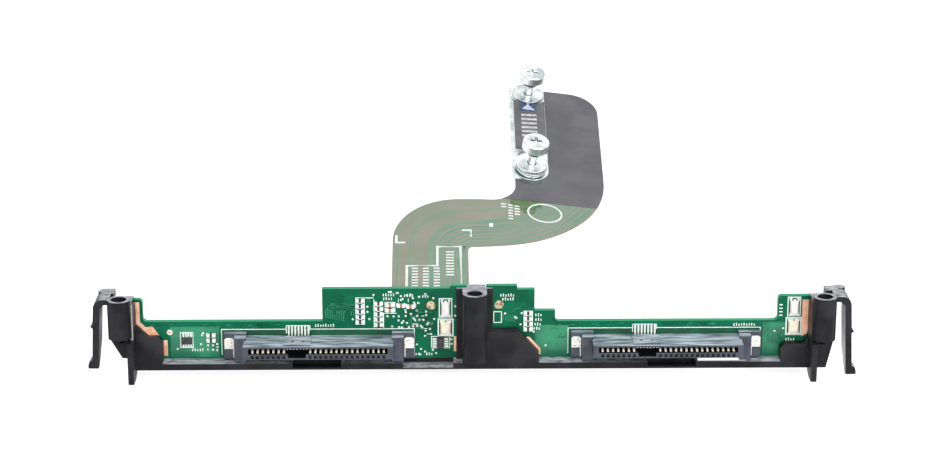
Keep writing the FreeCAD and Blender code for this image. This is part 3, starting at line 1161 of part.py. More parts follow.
# Captive screws: a grooved ferrule pressed through the plate, a screw whose thread can't pass the
# ferrule's narrow bore, and a dark collar that rides under the screw's head
def captive_screw(side_name, screw_y):
    spot = FreeCAD.Placement(FreeCAD.Vector(float(plate_x), float(screw_y), 0), FreeCAD.Rotation())
    place = plate_frame.multiply(spot)
    flange = ferrule_diameter / 2
    groove = groove_diameter / 2
    shank = ferrule_shank / 2
    top = plate_top + ferrule_height
    low_groove = plate_top + ferrule_groove
    upper_groove = top - flange_gauge - ferrule_groove

    ferrule = new_body(side_name + "_ferrule")
    turn_profile(ferrule, "turning", [
        (ferrule_bore / 2, end_board_foot), (shank, end_board_foot), (shank, plate_top),
        (groove, plate_top), (groove, low_groove), (flange, low_groove), (flange, upper_groove),
        (groove, upper_groove), (groove, top - flange_gauge), (flange, top - flange_gauge), (flange, top),
        (ferrule_waist / 2, top), (ferrule_waist / 2, top - waist_length),
        (ferrule_bore / 2, top - waist_length)])

    head_foot = top + head_rise
    thread_top = top - waist_length - shoulder_gap
    screw = new_body(side_name + "_captive_screw")
    head_top = head_foot + head_height
    turn_profile(screw, "turning", [
        (0, thread_top - thread_length), (thread_diameter / 2, thread_top - thread_length),
        (thread_diameter / 2, thread_top), (shank_diameter / 2, thread_top), (shank_diameter / 2, head_foot),
        (head_diameter / 2, head_foot), (head_diameter / 2, head_top - head_chamfer),
        (head_diameter / 2 - head_chamfer, head_top), (0, head_top)])
    long_half, short_half = drive_length / 2, drive_width / 2
    arms = [rectangle(-short_half, -long_half, short_half, long_half),
            rectangle(-long_half, -short_half, long_half, short_half)]
    for number, arm in enumerate(arms):
        add_layer(screw, "drive_slot_%d" % (number + 1), "XY_Plane", head_top - drive_depth,
                  head_top + cut_margin, [arm], cut=True)

    collar = new_body(side_name + "_collar")
    collar_top = head_foot - running_gap
    turn_profile(collar, "turning", [
        (collar_bore / 2, collar_top - collar_height), (collar_diameter / 2, collar_top - collar_height),
        (collar_diameter / 2, collar_top), (collar_bore / 2, collar_top)])

    for item in (ferrule, screw, collar):
        item.Placement = place


captive_screw("lower", lower_screw_y)
captive_screw("upper", upper_screw_y)

document.recompute()
for item in document.Objects:
    if "Invalid" in item.State or "Error" in item.State:
        raise ValueError("%s failed: %s" % (item.Label, item.State))
os.makedirs("parts", exist_ok=True)
for item in parts:
    shape = item.Shape
    if shape.isNull() or not shape.isValid():
        raise ValueError("%s has no valid shape" % item.Label)
for item in parts:
    item.Shape.exportStep("parts/%s.step" % item.Label)
print("%d sub-parts" % len(parts))
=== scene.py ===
import math
import random

import bmesh
import bpy
from mathutils import Matrix, Vector


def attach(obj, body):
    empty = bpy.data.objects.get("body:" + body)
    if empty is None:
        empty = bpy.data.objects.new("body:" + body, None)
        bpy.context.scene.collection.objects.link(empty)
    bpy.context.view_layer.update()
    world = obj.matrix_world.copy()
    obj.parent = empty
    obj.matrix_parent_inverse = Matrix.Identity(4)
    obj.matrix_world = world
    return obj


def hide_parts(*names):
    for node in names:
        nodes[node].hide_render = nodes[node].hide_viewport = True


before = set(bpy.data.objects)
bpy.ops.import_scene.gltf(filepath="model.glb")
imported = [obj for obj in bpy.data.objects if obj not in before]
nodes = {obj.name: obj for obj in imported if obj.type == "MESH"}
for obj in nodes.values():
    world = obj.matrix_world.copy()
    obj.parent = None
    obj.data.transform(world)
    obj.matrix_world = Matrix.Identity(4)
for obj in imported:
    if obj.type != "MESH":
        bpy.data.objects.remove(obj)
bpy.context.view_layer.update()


# Bracket. One injection moulding in black glass-filled plastic: a ledge with bored screw posts, sloping
# panels, fins, clips and two springy latch arms. Its corners are softened by the mould. Its rounded rims
# have a painted highlight, the faces that look up and lie in the light have a streaky grey painted sheen,
# and the right arm's inner side and a fin's front edge have a painted reflection of a lamp.
MM = 0.001
BRACKET_CORNER = 0.14
LEDGE_LEVEL, POST_LEVEL = 4, 14  # faces with the painted sheen lie below the first height or above the second
SHADED_STRETCHES = (-38.4, 47.2)        # middles of the stretches of ledge that lie under the receptacles, in their shade, where no painted sheen is laid
SHADED_REACH = 6.5
RIGHT_ARM = 87                   # the right latch arm lies past this
FACING = 0.9                     # how squarely a face looks along an axis to count as facing it


def paint(red, green, blue):
    """A colour as it is read off a screen, turned into the linear value that a shader takes."""
    levels = []
    for level in (red, green, blue):
        level /= 255
        levels.append(level / 12.92 if level <= 0.04045 else ((level + 0.055) / 1.055) ** 2.4)
    return (*levels, 1.0)


def set_inputs(node, values):
    for key, value in values.items():
        node.inputs[key].default_value = value


def new_finish(name, color, roughness, metallic=0.0):
    """A material with its principled shader set, ready for the patterns of one finish."""
    material = bpy.data.materials.new(name)
    material.use_nodes = True
    surface = material.node_tree.nodes["Principled BSDF"]
    set_inputs(surface, {"Base Color": color, "Roughness": roughness, "Metallic": metallic})
    return material, material.node_tree, surface


def new_group(name, inputs, outputs):
    """An empty node group with named sockets, as (kind, name, value) for each input."""
    group = bpy.data.node_groups.new(name, "ShaderNodeTree")
    for kind, label, value in inputs:
        socket = group.interface.new_socket(label, in_out="INPUT", socket_type="NodeSocket" + kind)
        socket.default_value = value
    for kind, label in outputs:
        group.interface.new_socket(label, in_out="OUTPUT", socket_type="NodeSocket" + kind)
    return group, group.nodes.new("NodeGroupInput"), group.nodes.new("NodeGroupOutput")


def add_node(tree, kind, values=None, **settings):
    """A shader node, with the settings and the values of inputs that are given."""
    node = tree.nodes.new("ShaderNode" + kind)
    for key, value in settings.items():
        setattr(node, key, value)
    set_inputs(node, values or {})
    return node


def use_group(tree, group, **values):
    node = tree.nodes.new("ShaderNodeGroup")
    node.node_tree = group
    set_inputs(node, values)
    return node


def wire(tree, *links):
    """Link nodes, each link given as (node, output, node, input)."""
    for giver, output, taker, socket in links:
        tree.links.new(giver.outputs[output], taker.inputs[socket])


MIX_FIRST, MIX_SECOND, MIX_RESULT = 6, 7, 2  # the colour sockets of a Mix node


def noise_group(name, scale, detail, low, high, stretch=None):
    """A group in which noise blends one colour into another, and also comes out as a mask."""
    group, given, result = new_group(
        name,
        [("Float", "Scale", scale), ("Color", "First", (0, 0, 0, 1)), ("Color", "Second", (1, 1, 1, 1)),
         ("Float", "Low", low), ("Float", "High", high)],
        [("Color", "Color"), ("Float", "Mask")])
    place = add_node(group, "TexCoord")
    noise = add_node(group, "TexNoise", {"Detail": detail})
    spread = add_node(group, "MapRange")
    blend = add_node(group, "Mix", data_type="RGBA")
    if stretch:
        along = add_node(group, "Mapping", {"Scale": stretch})
        wire(group, (place, "Object", along, "Vector"), (along, "Vector", noise, "Vector"))
    else:
        wire(group, (place, "Object", noise, "Vector"))
    wire(group,
         (given, "Scale", noise, "Scale"), (noise, "Fac", spread, "Value"),
         (given, "Low", spread, "From Min"), (given, "High", spread, "From Max"),
         (given, "First", blend, MIX_FIRST), (given, "Second", blend, MIX_SECOND),
         (spread, "Result", blend, "Factor"),
         (blend, MIX_RESULT, result, "Color"), (spread, "Result", result, "Mask"))
    return group


# Cloudy change of colour, as in any moulded or coated face, and streaks along the object that break up the
# painted sheen on faces that look up
mottle = noise_group("mottle", 100.0, 5, 0.4, 0.6)
streaks = noise_group("streaks", 900.0, 4, 0.36, 0.64, stretch=(0.16, 1.0, 1.0))

# Fine even grain, as a height for a bump
grain, given, result = new_group("grain", [("Float", "Scale", 2000.0)], [("Float", "Height")])
place = add_node(grain, "TexCoord")
speck = add_node(grain, "TexNoise", {"Detail": 2})
wire(grain, (place, "Object", speck, "Vector"), (given, "Scale", speck, "Scale"),
     (speck, "Fac", result, "Height"))

# Faces that look up: a mask that grows with how level a face lies
level_faces, given, result = new_group(
    "level_faces", [("Float", "From", 0.6), ("Float", "To", 0.95)], [("Float", "Mask")])
facing = add_node(level_faces, "NewGeometry")
split = add_node(level_faces, "SeparateXYZ")
ramp = add_node(level_faces, "MapRange")
wire(level_faces, (facing, "Normal", split, "Vector"), (split, "Z", ramp, "Value"),
     (given, "From", ramp, "From Min"), (given, "To", ramp, "From Max"), (ramp, "Result", result, "Mask"))


def rough_skin(tree, surface, scale, depth):
    """Give a surface a fine bump of that depth in millimetres."""
    source = use_group(tree, grain, Scale=scale)
    bump = add_node(tree, "Bump", {"Strength": 0.6, "Distance": depth * MM})
    wire(tree, (source, "Height", bump, "Height"), (bump, "Normal", surface, "Normal"))


def two_tone(tree, surface, scale, first, second, low=0.4, high=0.6):
    """Cloud one colour into another over a surface, and hand back the pattern."""
    source = use_group(tree, mottle, Scale=scale, First=first, Second=second, Low=low, High=high)
    wire(tree, (source, "Color", surface, "Base Color"))
    return source


def blend_over(tree, surface, under, mask, over):
    """Lay a second colour over whatever feeds the surface, through a mask."""
    mix = add_node(tree, "Mix", data_type="RGBA")
    tree.links.new(mask, mix.inputs["Factor"])
    tree.links.new(under, mix.inputs[MIX_FIRST])
    if isinstance(over, tuple):
        mix.inputs[MIX_SECOND].default_value = over
    else:
        tree.links.new(over, mix.inputs[MIX_SECOND])
    wire(tree, (mix, MIX_RESULT, surface, "Base Color"))
    return mix.outputs[MIX_RESULT]


def vary_roughness(tree, surface, mask, low, high):
    ramp = add_node(tree, "MapRange", {"To Min": low, "To Max": high})
    tree.links.new(mask, ramp.inputs["Value"])
    wire(tree, (ramp, "Result", surface, "Roughness"))


def multiply(tree, first, second):
    """The product of two masks, or of a mask and a number."""
    node = add_node(tree, "Math", operation="MULTIPLY")
    for number, value in enumerate((first, second)):
        if isinstance(value, float):
            node.inputs[number].default_value = value
        else:
            tree.links.new(value, node.inputs[number])
    return node.outputs[0]


def face_value(tree, name):
    """A number that the mesh's faces carry under a name."""
    return add_node(tree, "Attribute", attribute_name=name).outputs["Fac"]


def finish_piece(mesh, name, material, body="base", smooth=False):
    """Turn a finished bmesh into an object that rides on a body."""
    data = bpy.data.meshes.new(name)
    mesh.to_mesh(data)
    mesh.free()
    piece = bpy.data.objects.new(name, data)
    bpy.context.scene.collection.objects.link(piece)
    data.materials.append(material)
    for face in data.polygons:
        face.use_smooth = smooth
    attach(piece, body)
    return piece


SHARP = math.radians(28)  # edges blunter than this stay as they are


def softened(node, corner, material, body="base"):
    """Stand in for a node with a copy whose sharp edges are rounded, in millimetres; the rounded strips
    carry the value 1 in the face attribute rim."""
    mesh = bmesh.new()
    mesh.from_mesh(nodes[node].data)
    rim = mesh.faces.layers.float.new("rim")
    bmesh.ops.remove_doubles(mesh, verts=mesh.verts, dist=0.002 * MM)
    bmesh.ops.dissolve_degenerate(mesh, edges=mesh.edges, dist=0.004 * MM)
    bmesh.ops.dissolve_limit(mesh, angle_limit=math.radians(0.6), verts=mesh.verts, edges=mesh.edges)
    sharp = [edge for edge in mesh.edges if len(edge.link_faces) == 2 and edge.calc_face_angle(0) > SHARP]
    strips = bmesh.ops.bevel(mesh, geom=sharp, offset=corner * MM, offset_type="OFFSET", segments=2,
                             profile=0.5, affect="EDGES", clamp_overlap=True, material=-1)["faces"]
    for face in strips:
        face[rim] = 1.0
    piece = finish_piece(mesh, node + "_shaped", material, body, smooth=True)
    weight = piece.modifiers.new("even_shading", "WEIGHTED_NORMAL")
    weight.keep_sharp = True
    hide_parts(node)
    return piece


black_moulding, tree, surface = new_finish("black_moulding", paint(30, 30, 33), 0.4)
set_inputs(surface, {"Specular IOR Level": 0.15})
clouds = two_tone(tree, surface, 160.0, paint(22, 22, 25), paint(40, 40, 44))
# Painted highlight: the rounded rims are painted light grey, as if they caught the lamps.
rim_highlight = multiply(tree, face_value(tree, "rim"), 0.5)
rim_lit = blend_over(tree, surface, clouds.outputs["Color"], rim_highlight, paint(168, 170, 176))
# Painted sheen: faces that look up and lie in the light are painted a streaky pale grey in patches, as
# light glancing off them.
upward = use_group(tree, level_faces, From=0.75, To=0.97)
patches = use_group(tree, mottle, Scale=520.0, Low=0.2, High=0.54)
sheen_streaks = use_group(tree, streaks, First=paint(156, 158, 164), Second=paint(216, 218, 226))
lit_upward_faces = multiply(tree, upward.outputs["Mask"], patches.outputs["Mask"])
painted_sheen = multiply(tree, lit_upward_faces, face_value(tree, "lit_top"))
sheened = blend_over(tree, surface, rim_lit, multiply(tree, painted_sheen, 0.85), sheen_streaks.outputs["Color"])
# Painted reflection: the right arm's inner side and a fin's front edge are painted near white, as if they
# mirrored a lamp.
reflection_mix = multiply(tree, face_value(tree, "lamp_reflection"), 0.9)
blend_over(tree, surface, sheened, reflection_mix, paint(236, 236, 238))
vary_roughness(tree, surface, clouds.outputs["Mask"], 0.34, 0.5)
rough_skin(tree, surface, 5200.0, 0.012)
shaped = softened("bracket", BRACKET_CORNER, black_moulding).data
for name in ("lit_top", "lamp_reflection"):
    shaped.attributes.new(name, "FLOAT", "FACE")
lit_top, lamp_reflection = shaped.attributes["lit_top"].data, shaped.attributes["lamp_reflection"].data
for face in shaped.polygons:
    x, y, z = face.center / MM
    # The ledge under the receptacles lies in their shade, so no painted sheen is laid there.
    in_shade = min(abs(x - middle) for middle in SHADED_STRETCHES) < SHADED_REACH
    lit_top[face.index].value = float(z > POST_LEVEL or (z < LEDGE_LEVEL and not in_shade))
    # Faces that carry the painted reflection of a lamp.
    arm_side = x > RIGHT_ARM and face.normal.x < -FACING
    fin_edge = -83 < x < -82.2 and -0.5 < y < -0.1 and z > 9.5 and face.normal.y < -FACING
    lamp_reflection[face.index].value = 1.0 if arm_side else 0.5 * fin_edge


# Main board. Glass laminate 1.6 mm thick under green solder mask, routed to its stepped outline, so its
# edges show the paler laminate. Copper under the mask shows as lighter fields and fine runs.
BOARD_FRONT = 6.0


def dress(node, material):
    """Give a node of the CAD its finish, on the mesh that it came with."""
    slots = nodes[node].data.materials
    slots.clear()
    slots.append(material)


solder_mask, tree, surface = new_finish("solder_mask", paint(2, 98, 68), 0.3)
set_inputs(surface, {"Specular IOR Level": 0.12})
field = two_tone(tree, surface, 60.0, paint(0, 82, 56), paint(2, 103, 72), 0.38, 0.62)
place = add_node(tree, "TexCoord")
pours = add_node(tree, "TexVoronoi", {"Scale": 190}, distance="CHEBYCHEV")
pour_step = add_node(tree, "MapRange", {"From Min": 0.45, "From Max": 0.5, "To Max": 0.22})
wire(tree, (place, "Object", pours, "Vector"), (pours, "Color", pour_step, "Value"))
poured = blend_over(tree, surface, field.outputs["Color"], pour_step.outputs["Result"],
                    paint(14, 130, 92))
facing = add_node(tree, "NewGeometry")
split = add_node(tree, "SeparateXYZ")
frontal = add_node(tree, "Math", operation="ABSOLUTE")
edges = add_node(tree, "MapRange", {"From Min": 0.75, "From Max": 0.6})
wire(tree, (facing, "Normal", split, "Vector"), (split, "Y", frontal, 0), (frontal, 0, edges, "Value"))
blend_over(tree, surface, poured, edges.outputs["Result"], paint(28, 164, 116))
vary_roughness(tree, surface, field.outputs["Mask"], 0.24, 0.36)
rough_skin(tree, surface, 2600.0, 0.01)
dress("main_board", solder_mask)


# Copper under the mask. Etched copper lifts the mask by a few hundredths of a millimetre, and shows as a
# lighter green: broad fields, and fine runs that leave a pad, turn at 45 degrees and go on. Above the
# receptacles there is none, and the mask is darkest.
FIELD_LIFT = 0.008
RUN_LIFT = 0.02
RUN_WIDTH = 0.17
RUN_SPACING, RUN_DROP = 0.55, 0.12  # from one run's start to the next one's
FULLEST_MITRE = 0.4                 # keeps the outer corner of a tight turn from running out to a spike


def ribbon(mesh, path, width, spot):
    """Draw a flat run along a path, with mitred corners; spot puts a flat point on its carrier."""
    points = [Vector((x, y)) for x, y in path]
    sides = []
    for number, point in enumerate(points):
        before = (point - points[number - 1]).normalized() if number else None
        after = (points[number + 1] - point).normalized() if number + 1 < len(points) else None
        along = ((before or after) + (after or before)).normalized()
        across = Vector((-along.y, along.x))
        next_run = after or before
        cosine = across.dot(Vector((-next_run.y, next_run.x)))
        half = across * (width / 2 / max(cosine, FULLEST_MITRE))
        sides.append((point + half, point - half))
    left = mesh.verts.new(spot(*sides[0][0]))
    right = mesh.verts.new(spot(*sides[0][1]))
    edge = mesh.edges.new((left, right))
    for side in sides[1:]:
        grown = bmesh.ops.extrude_edge_only(mesh, edges=[edge])["geom"]
        edge = next(item for item in grown if isinstance(item, bmesh.types.BMEdge))
        made = [item for item in grown if isinstance(item, bmesh.types.BMVert)]
        made.sort(key=lambda vert: (vert.co - spot(*side[0])).length)
        made[0].co = spot(*side[0])
        made[1].co = spot(*side[1])


def on_board(lift):
    """Point on the board's front at x, z, lifted by that many millimetres."""
    return lambda x, z: Vector((x, BOARD_FRONT - lift, z)) * MM


def clouded(name, color, roughness, scale, first, second, low=0.4, high=0.6, metallic=0.0, skin=None):
    """A finish that drifts between two near tones, with a bump where skin gives its scale and depth."""
    material, tree, surface = new_finish(name, color, roughness, metallic)
    two_tone(tree, surface, scale, first, second, low, high)
    if skin:
        rough_skin(tree, surface, *skin)
    return material


poured_copper = clouded("masked_copper_field", paint(14, 118, 80), 0.3, 110.0,
                        paint(2, 98, 68), paint(34, 136, 96), 0.42, 0.56)
bare_mask = clouded("mask_over_laminate", paint(0, 74, 48), 0.3, 260.0,
                    paint(0, 66, 42), paint(2, 86, 56))
# Left, right, low and high side of each field
copper_fields = ((-74.3, -62.4, 1.9, 9.8), (14.9, 23.0, 1.9, 9.9), (70.6, 76.2, 1.9, 10.4))
bare_fields = ((-61.6, -15.0, 7.5, 8.9), (23.3, 70.2, 7.5, 8.9))
for name, finish, fields in (("copper_fields", poured_copper, copper_fields),
                             ("bare_fields", bare_mask, bare_fields)):
    plane = bmesh.new()
    for left, right, low, high in fields:
        middle = (low + high) / 2
        ribbon(plane, [(left, middle), (right, middle)], high - low, on_board(FIELD_LIFT))
    finish_piece(plane, name, finish)

copper_run = clouded("masked_copper_run", paint(30, 136, 96), 0.28, 300.0,
                     paint(20, 124, 86), paint(44, 148, 108))
wander = random.Random(11)
runs = bmesh.new()
# Start of each bundle of runs, how many runs it has and the height that they stay under
for start_x, start_z, count, top in ((-36.3, 12.0, 9, 18.2), (-30.0, 12.6, 7, 18.2), (-16.5, 9.6, 8, 18.2),
                                     (7.0, 11.2, 6, 18.2), (18.0, 5.5, 7, 12.6), (71.5, 4.0, 6, 10.3),
                                     (-79.0, 9.6, 4, 10.3), (-66.5, 9.4, 6, 10.3), (-55.0, 9.8, 5, 10.3),
                                     (28.0, 9.3, 6, 10.3), (52.0, 9.5, 6, 10.3)):
    for number in range(count):
        x = start_x + number * RUN_SPACING
        z = start_z - number * RUN_DROP
        rise = min(wander.uniform(0.8, 3.4), max(top - z - 1.2, 0.3))
        turn = min(wander.choice((0.5, 0.9, 1.3)), max(top - z - rise, 0.1))
        reach = wander.uniform(1.0, 6.0)
        path = [(x, z), (x, z + rise), (x + turn, z + rise + turn), (x + turn + reach, z + rise + turn)]
        ribbon(runs, path, RUN_WIDTH, on_board(RUN_LIFT))
finish_piece(runs, "copper_runs", copper_run)


# Printed marks on the board's face. White ink, screened on: outlines round the receptacles and the
# parts, bars between the chips of a column, and rows of ticks.
INK_LIFT = 0.03
INK_LINE = 0.2
TICK_PITCH, TICK_WIDTH, TICK_HEIGHT = 0.62, 0.24, 0.75
DRIVES = (-37.9, 46.8)  # middles of the two receptacles' rows of contacts
KEY_OFFSET = 5.08       # from there to the key, leftwards
LAMPS = (-7.05, 78.1)   # middles of the two pairs of lamps
CHIP_PITCH = 1.37
RESISTOR_COLUMNS = ((-27.9, 10.9, 5), (-23.4, 10.2, 5), (13.1, 8.9, 4))  # x, lowest part and count


def ink_bar(mesh, left, right, low, high, lift=INK_LIFT, front=BOARD_FRONT):
    """A flat bar that stands a little off the board's face."""
    made = bmesh.ops.create_cube(mesh, size=1.0)["verts"]
    size = Vector((right - left, lift, high - low)) * MM
    middle = Vector(((left + right) / 2, front - lift / 2, (low + high) / 2)) * MM
    bmesh.ops.scale(mesh, vec=size, verts=made)
    bmesh.ops.translate(mesh, vec=middle, verts=made)


def ink_frame(mesh, left, right, low, high, line):
    ink_bar(mesh, left, right, high - line, high)
    ink_bar(mesh, left, right, low, low + line)
    ink_bar(mesh, left, left + line, low + line, high - line)
    ink_bar(mesh, right - line, right, low + line, high - line)


white_ink = clouded("white_ink", paint(240, 250, 244), 0.6, 900.0,
                    paint(224, 242, 234), paint(252, 255, 253))
marks = bmesh.new()
for drive_x in DRIVES:
    left, right, key_x = drive_x - 24.0, drive_x + 23.3, drive_x - KEY_OFFSET
    for bar in ((left, key_x - 3.0, 9.0, 9.2), (key_x + 2.8, right, 9.0, 9.2),
                (left, left + INK_LINE, 2.5, 9.0), (right - INK_LINE, right, 2.5, 9.0),
                (key_x - 3.1, key_x - 2.9, 8.0, 10.1), (key_x + 2.7, key_x + 2.9, 8.8, 10.1),
                (key_x - 3.1, key_x + 2.9, 9.95, 10.1)):
        ink_bar(marks, *bar)
for lamp_x in LAMPS:
    ink_frame(marks, lamp_x - 1.65, lamp_x + 1.65, 11.95, 16.95, 0.28)
    ink_frame(marks, lamp_x - 1.95, lamp_x + 1.95, 7.0, 11.7, 0.34)
# Frames round the packages and chip parts, with the width of their lines
for box in ((-71.95, -68.7, 4.35, 8.45, 0.2), (-10.6, -6.0, 3.95, 7.15, 0.2),
            (12.0, 14.25, 8.3, 13.6, 0.18), (4.6, 6.7, 10.5, 13.5, 0.22),
            (-29.0, -26.75, 10.2, 17.2, 0.16), (-21.9, -19.3, 13.4, 16.0, 0.14)):
    ink_frame(marks, *box)
for column_x, low, count in RESISTOR_COLUMNS:
    for number in range(count - 1):
        z = low + CHIP_PITCH * number
        ink_bar(marks, column_x - 0.5, column_x + 0.5, z + 0.56, z + 0.82)
# Lines beside the columns and round the capacitors
for bar in ((-26.6, -24.6, 17.0, 17.2), (-24.6, -24.4, 9.4, 16.7), (-22.3, -22.1, 9.4, 13.2),
            (-22.3, -19.0, 13.0, 13.2)):
    ink_bar(marks, *bar)
for x, z in ((-18.6, 14.5), (-16.2, 14.5), (-18.6, 15.9), (-16.2, 15.9), (-14.4, 14.6)):
    ink_bar(marks, x, x + 0.14, z, z + 1.0)
for x, z, wide in ((-15.2, 10.2, 1.5), (-12.4, 9.0, 0.9), (-11.6, 7.6, 0.8), (-12.9, 12.3, 0.6)):
    ink_bar(marks, x, x + wide, z, z + 0.16)
# Rows of plain upright ticks beside the parts
for row_x, z, count in ((-69.1, 3.5, 5), (-22.3, 17.5, 5), (-22.2, 16.5, 4), (-17.1, 17.3, 4),
                        (-12.7, 17.1, 3), (6.3, 17.3, 6), (6.8, 16.3, 5), (14.9, 12.2, 3), (14.9, 11.0, 3),
                        (14.7, 9.8, 3), (14.5, 8.7, 3), (63.4, 9.5, 9), (76.3, 5.6, 4), (-38.9, 9.7, 8),
                        (-15.6, 2.2, 4), (-11.8, 2.2, 3)):
    for number in range(count):
        x = row_x + number * TICK_PITCH
        ink_bar(marks, x, x + TICK_WIDTH, z, z + TICK_HEIGHT * (0.85, 1.0, 0.7)[number % 3])
for z in (12.0, 12.9, 13.8, 14.7):
    ink_bar(marks, 74.5, 75.3, z, z + 0.32)
finish_piece(marks, "board_marks", white_ink)


# Plated holes and small test lands. Drilled holes join the copper layers; their tinned rims and the
# bare lands beside them stand out as small bright dots.
DOT, HOLE_SHARE = 0.27, 0.35       # radius of a land, and its hole's as a part of that
DOT_LIFT, HOLE_LIFT = 0.04, 0.05
LONE_LAND = (-74.4, 8.4)           # wide ring of tin round a copper land, beside the left panel

bright_tin = clouded("bright_tin", paint(238, 246, 241), 0.4, 1500.0,
                     paint(222, 234, 228), paint(250, 254, 251), metallic=0.15, skin=(3000.0, 0.01))
dots = bmesh.new()
dark_holes = bmesh.new()
dot_places = [
    (-24.59, 17.81), (-18.66, 18.33), (-10.03, 16.95), (-13.69, 15.75), (-16.73, 13.35), (-16.78, 12.4),
    (-18.46, 12.29), (-19.76, 12.3), (-21.22, 12.34), (-18.54, 11.22), (-17.35, 11.02), (-14.84, 11.72),
    (-14.08, 13.77), (-13.94, 12.39), (-13.42, 11.39), (-12.49, 11.39), (-9.83, 11.58), (-4.71, 14.84),
    (-4.71, 12.42), (-12.76, 9.41), (-11.56, 10.2), (-10.44, 10.27), (-11.94, 8.53), (-12.1, 7.22),
    (-26.08, 14.82), (-26.09, 13.51), (-25.67, 11.65), (-29.7, 11.59), (-5.65, 6.27), (-5.6, 5.1),
    (7.47, 12.92), (11.54, 12.98), (10.24, 11.76), (11.26, 10.09), (14.49, 8.17), (17.45, 4.6),
    (-72.6, 4.1), (-62.93, 5.31), (-62.9, 4.51), (-62.99, 3.71), (-66.56, 7.65), (-66.9, 5.3),
    (73.54, 8.11), (75.6, 8.77), (-20.82, 18.54), (-15.61, 17.92), (-11.89, 17.91), (-17.49, 16.75),
    (-65.2, 5.0), (-63.98, 5.0), (-65.24, 3.9), (-64.0, 3.85), (9.9, 12.0),
    (-20.3, 18.6), (-18.9, 18.3), (-17.9, 17.5), (-16.4, 17.8), (-15.0, 17.0), (-13.5, 17.3),
    (-12.0, 18.0), (-17.9, 16.5), (-14.7, 15.8), (-15.5, 12.9), (-14.5, 11.3), (-17.7, 10.6),
    (-16.5, 10.6), (-18.4, 9.5), (-17.7, 9.4), (-16.0, 9.5), (-15.0, 9.7), (-14.0, 9.8), (-13.1, 9.8),
    (-11.3, 10.5), (-10.4, 10.3), (-20.1, 9.7), (-10.9, 9.0), (-10.6, 7.7), (-11.8, 13.5),
    (-11.8, 12.6), (-14.1, 5.0), (-13.1, 3.8), (-12.1, 3.1), (-10.2, 3.5), (-9.4, 2.7), (-14.8, 2.2),
    (-13.3, 2.4), (-14.0, 13.7), (-16.9, 13.9)]


def round_land(mesh, x, z, radius, lift, sides=12):
    """A round flat land on the board's face."""
    turn = Matrix.Rotation(math.radians(90), 4, "X")
    made = bmesh.ops.create_cone(mesh, cap_ends=True, segments=sides, radius1=radius * MM,
                                 radius2=radius * 0.92 * MM, depth=lift * MM, matrix=turn)["verts"]
    bmesh.ops.translate(mesh, vec=Vector((x, BOARD_FRONT - lift / 2, z)) * MM, verts=made)


for x, z in dot_places:
    round_land(dots, x, z, DOT, DOT_LIFT)
    round_land(dark_holes, x, z, DOT * HOLE_SHARE, HOLE_LIFT, sides=8)
round_land(dots, -66.3, 8.2, 0.4, 0.03, sides=3)
round_land(dots, *LONE_LAND, 0.72, 0.02, sides=16)
finish_piece(dots, "tinned_lands", bright_tin)
hole_dark = clouded("drilled_hole", paint(30, 52, 42), 0.7, 900.0, paint(20, 40, 32), paint(42, 66, 54))
finish_piece(dark_holes, "drilled_holes", hole_dark)


# Bare copper lands under the bracket's panels. The copper is unplated, so it has dulled to a salmon
# colour with browner patches.
bare_copper = clouded("bare_copper", paint(246, 184, 150), 0.4, 420.0,
                      paint(236, 166, 128), paint(254, 206, 176), metallic=0.1, skin=(2400.0, 0.012))
dress("ground_lands", bare_copper)
lone_land = bmesh.new()
round_land(lone_land, *LONE_LAND, 0.5, DOT_LIFT, sides=16)
finish_piece(lone_land, "single_copper_land", bare_copper)


# Round test lands beside the centre post. Copper under a thin gold plating, for the pins of a test
# fixture, which have left it scratched and dull.
land_gold = clouded("land_gold", paint(176, 156, 118), 0.35, 1300.0,
                    paint(132, 110, 78), paint(206, 192, 158), 0.44, 0.54, metallic=0.3)
dress("test_lands", land_gold)


# Drive receptacles. Dark blue-grey high-temperature plastic with a keyed slot for the drive's tongue.
# Their rounded rims have a painted highlight, their upper faces a pale streaked painted sheen, and inside
# the slot the walls are painted black as painted shade.
RECEPTACLE_CORNER = 0.09
SLOT_HALF = 17  # the slot reaches this far to each side, between the depths and heights tested below

receptacle_plastic, tree, surface = new_finish("receptacle_plastic", paint(50, 55, 66), 0.4)
clouds = two_tone(tree, surface, 260.0, paint(42, 47, 58), paint(66, 72, 86))
# Painted highlight: the rounded rims are painted pale, as if they caught the lamps.
rim_highlight = multiply(tree, face_value(tree, "rim"), 0.4)
rim_lit = blend_over(tree, surface, clouds.outputs["Color"], rim_highlight, paint(176, 184, 194))
# Painted shade: faces inside the slot are painted near black, as the slot's unlit inside.
slot_shade = face_value(tree, "slot")
slot_shaded = blend_over(tree, surface, rim_lit, multiply(tree, slot_shade, 0.94), paint(4, 4, 6))
# Painted sheen: upper faces outside the slot are painted pale and streaked, as light glancing off them.
upward = use_group(tree, level_faces, From=0.6, To=0.95)
sheen_streaks = use_group(tree, streaks, First=paint(84, 98, 112), Second=paint(214, 228, 238))
outside = add_node(tree, "Math", {0: 1.0}, operation="SUBTRACT")
tree.links.new(slot_shade, outside.inputs[1])
lit_upper_faces = multiply(tree, upward.outputs["Mask"], outside.outputs[0])
blend_over(tree, surface, slot_shaded, multiply(tree, lit_upper_faces, 0.85), sheen_streaks.outputs["Color"])
rough_skin(tree, surface, 4200.0, 0.01)
for side, drive_x in zip(("left", "right"), DRIVES):
    housing = softened(side + "_drive_housing", RECEPTACLE_CORNER, receptacle_plastic).data
    slot = housing.attributes.new("slot", "FLOAT", "FACE")
    # Faces inside the slot get the painted shade.
    for face in housing.polygons:
        x, y, z = face.center / MM
        in_slot = abs(x - drive_x) < SLOT_HALF and -2.4 < y < 5.9 and 4.45 < z < 7.2
        slot.data[face.index].value = float(in_slot)


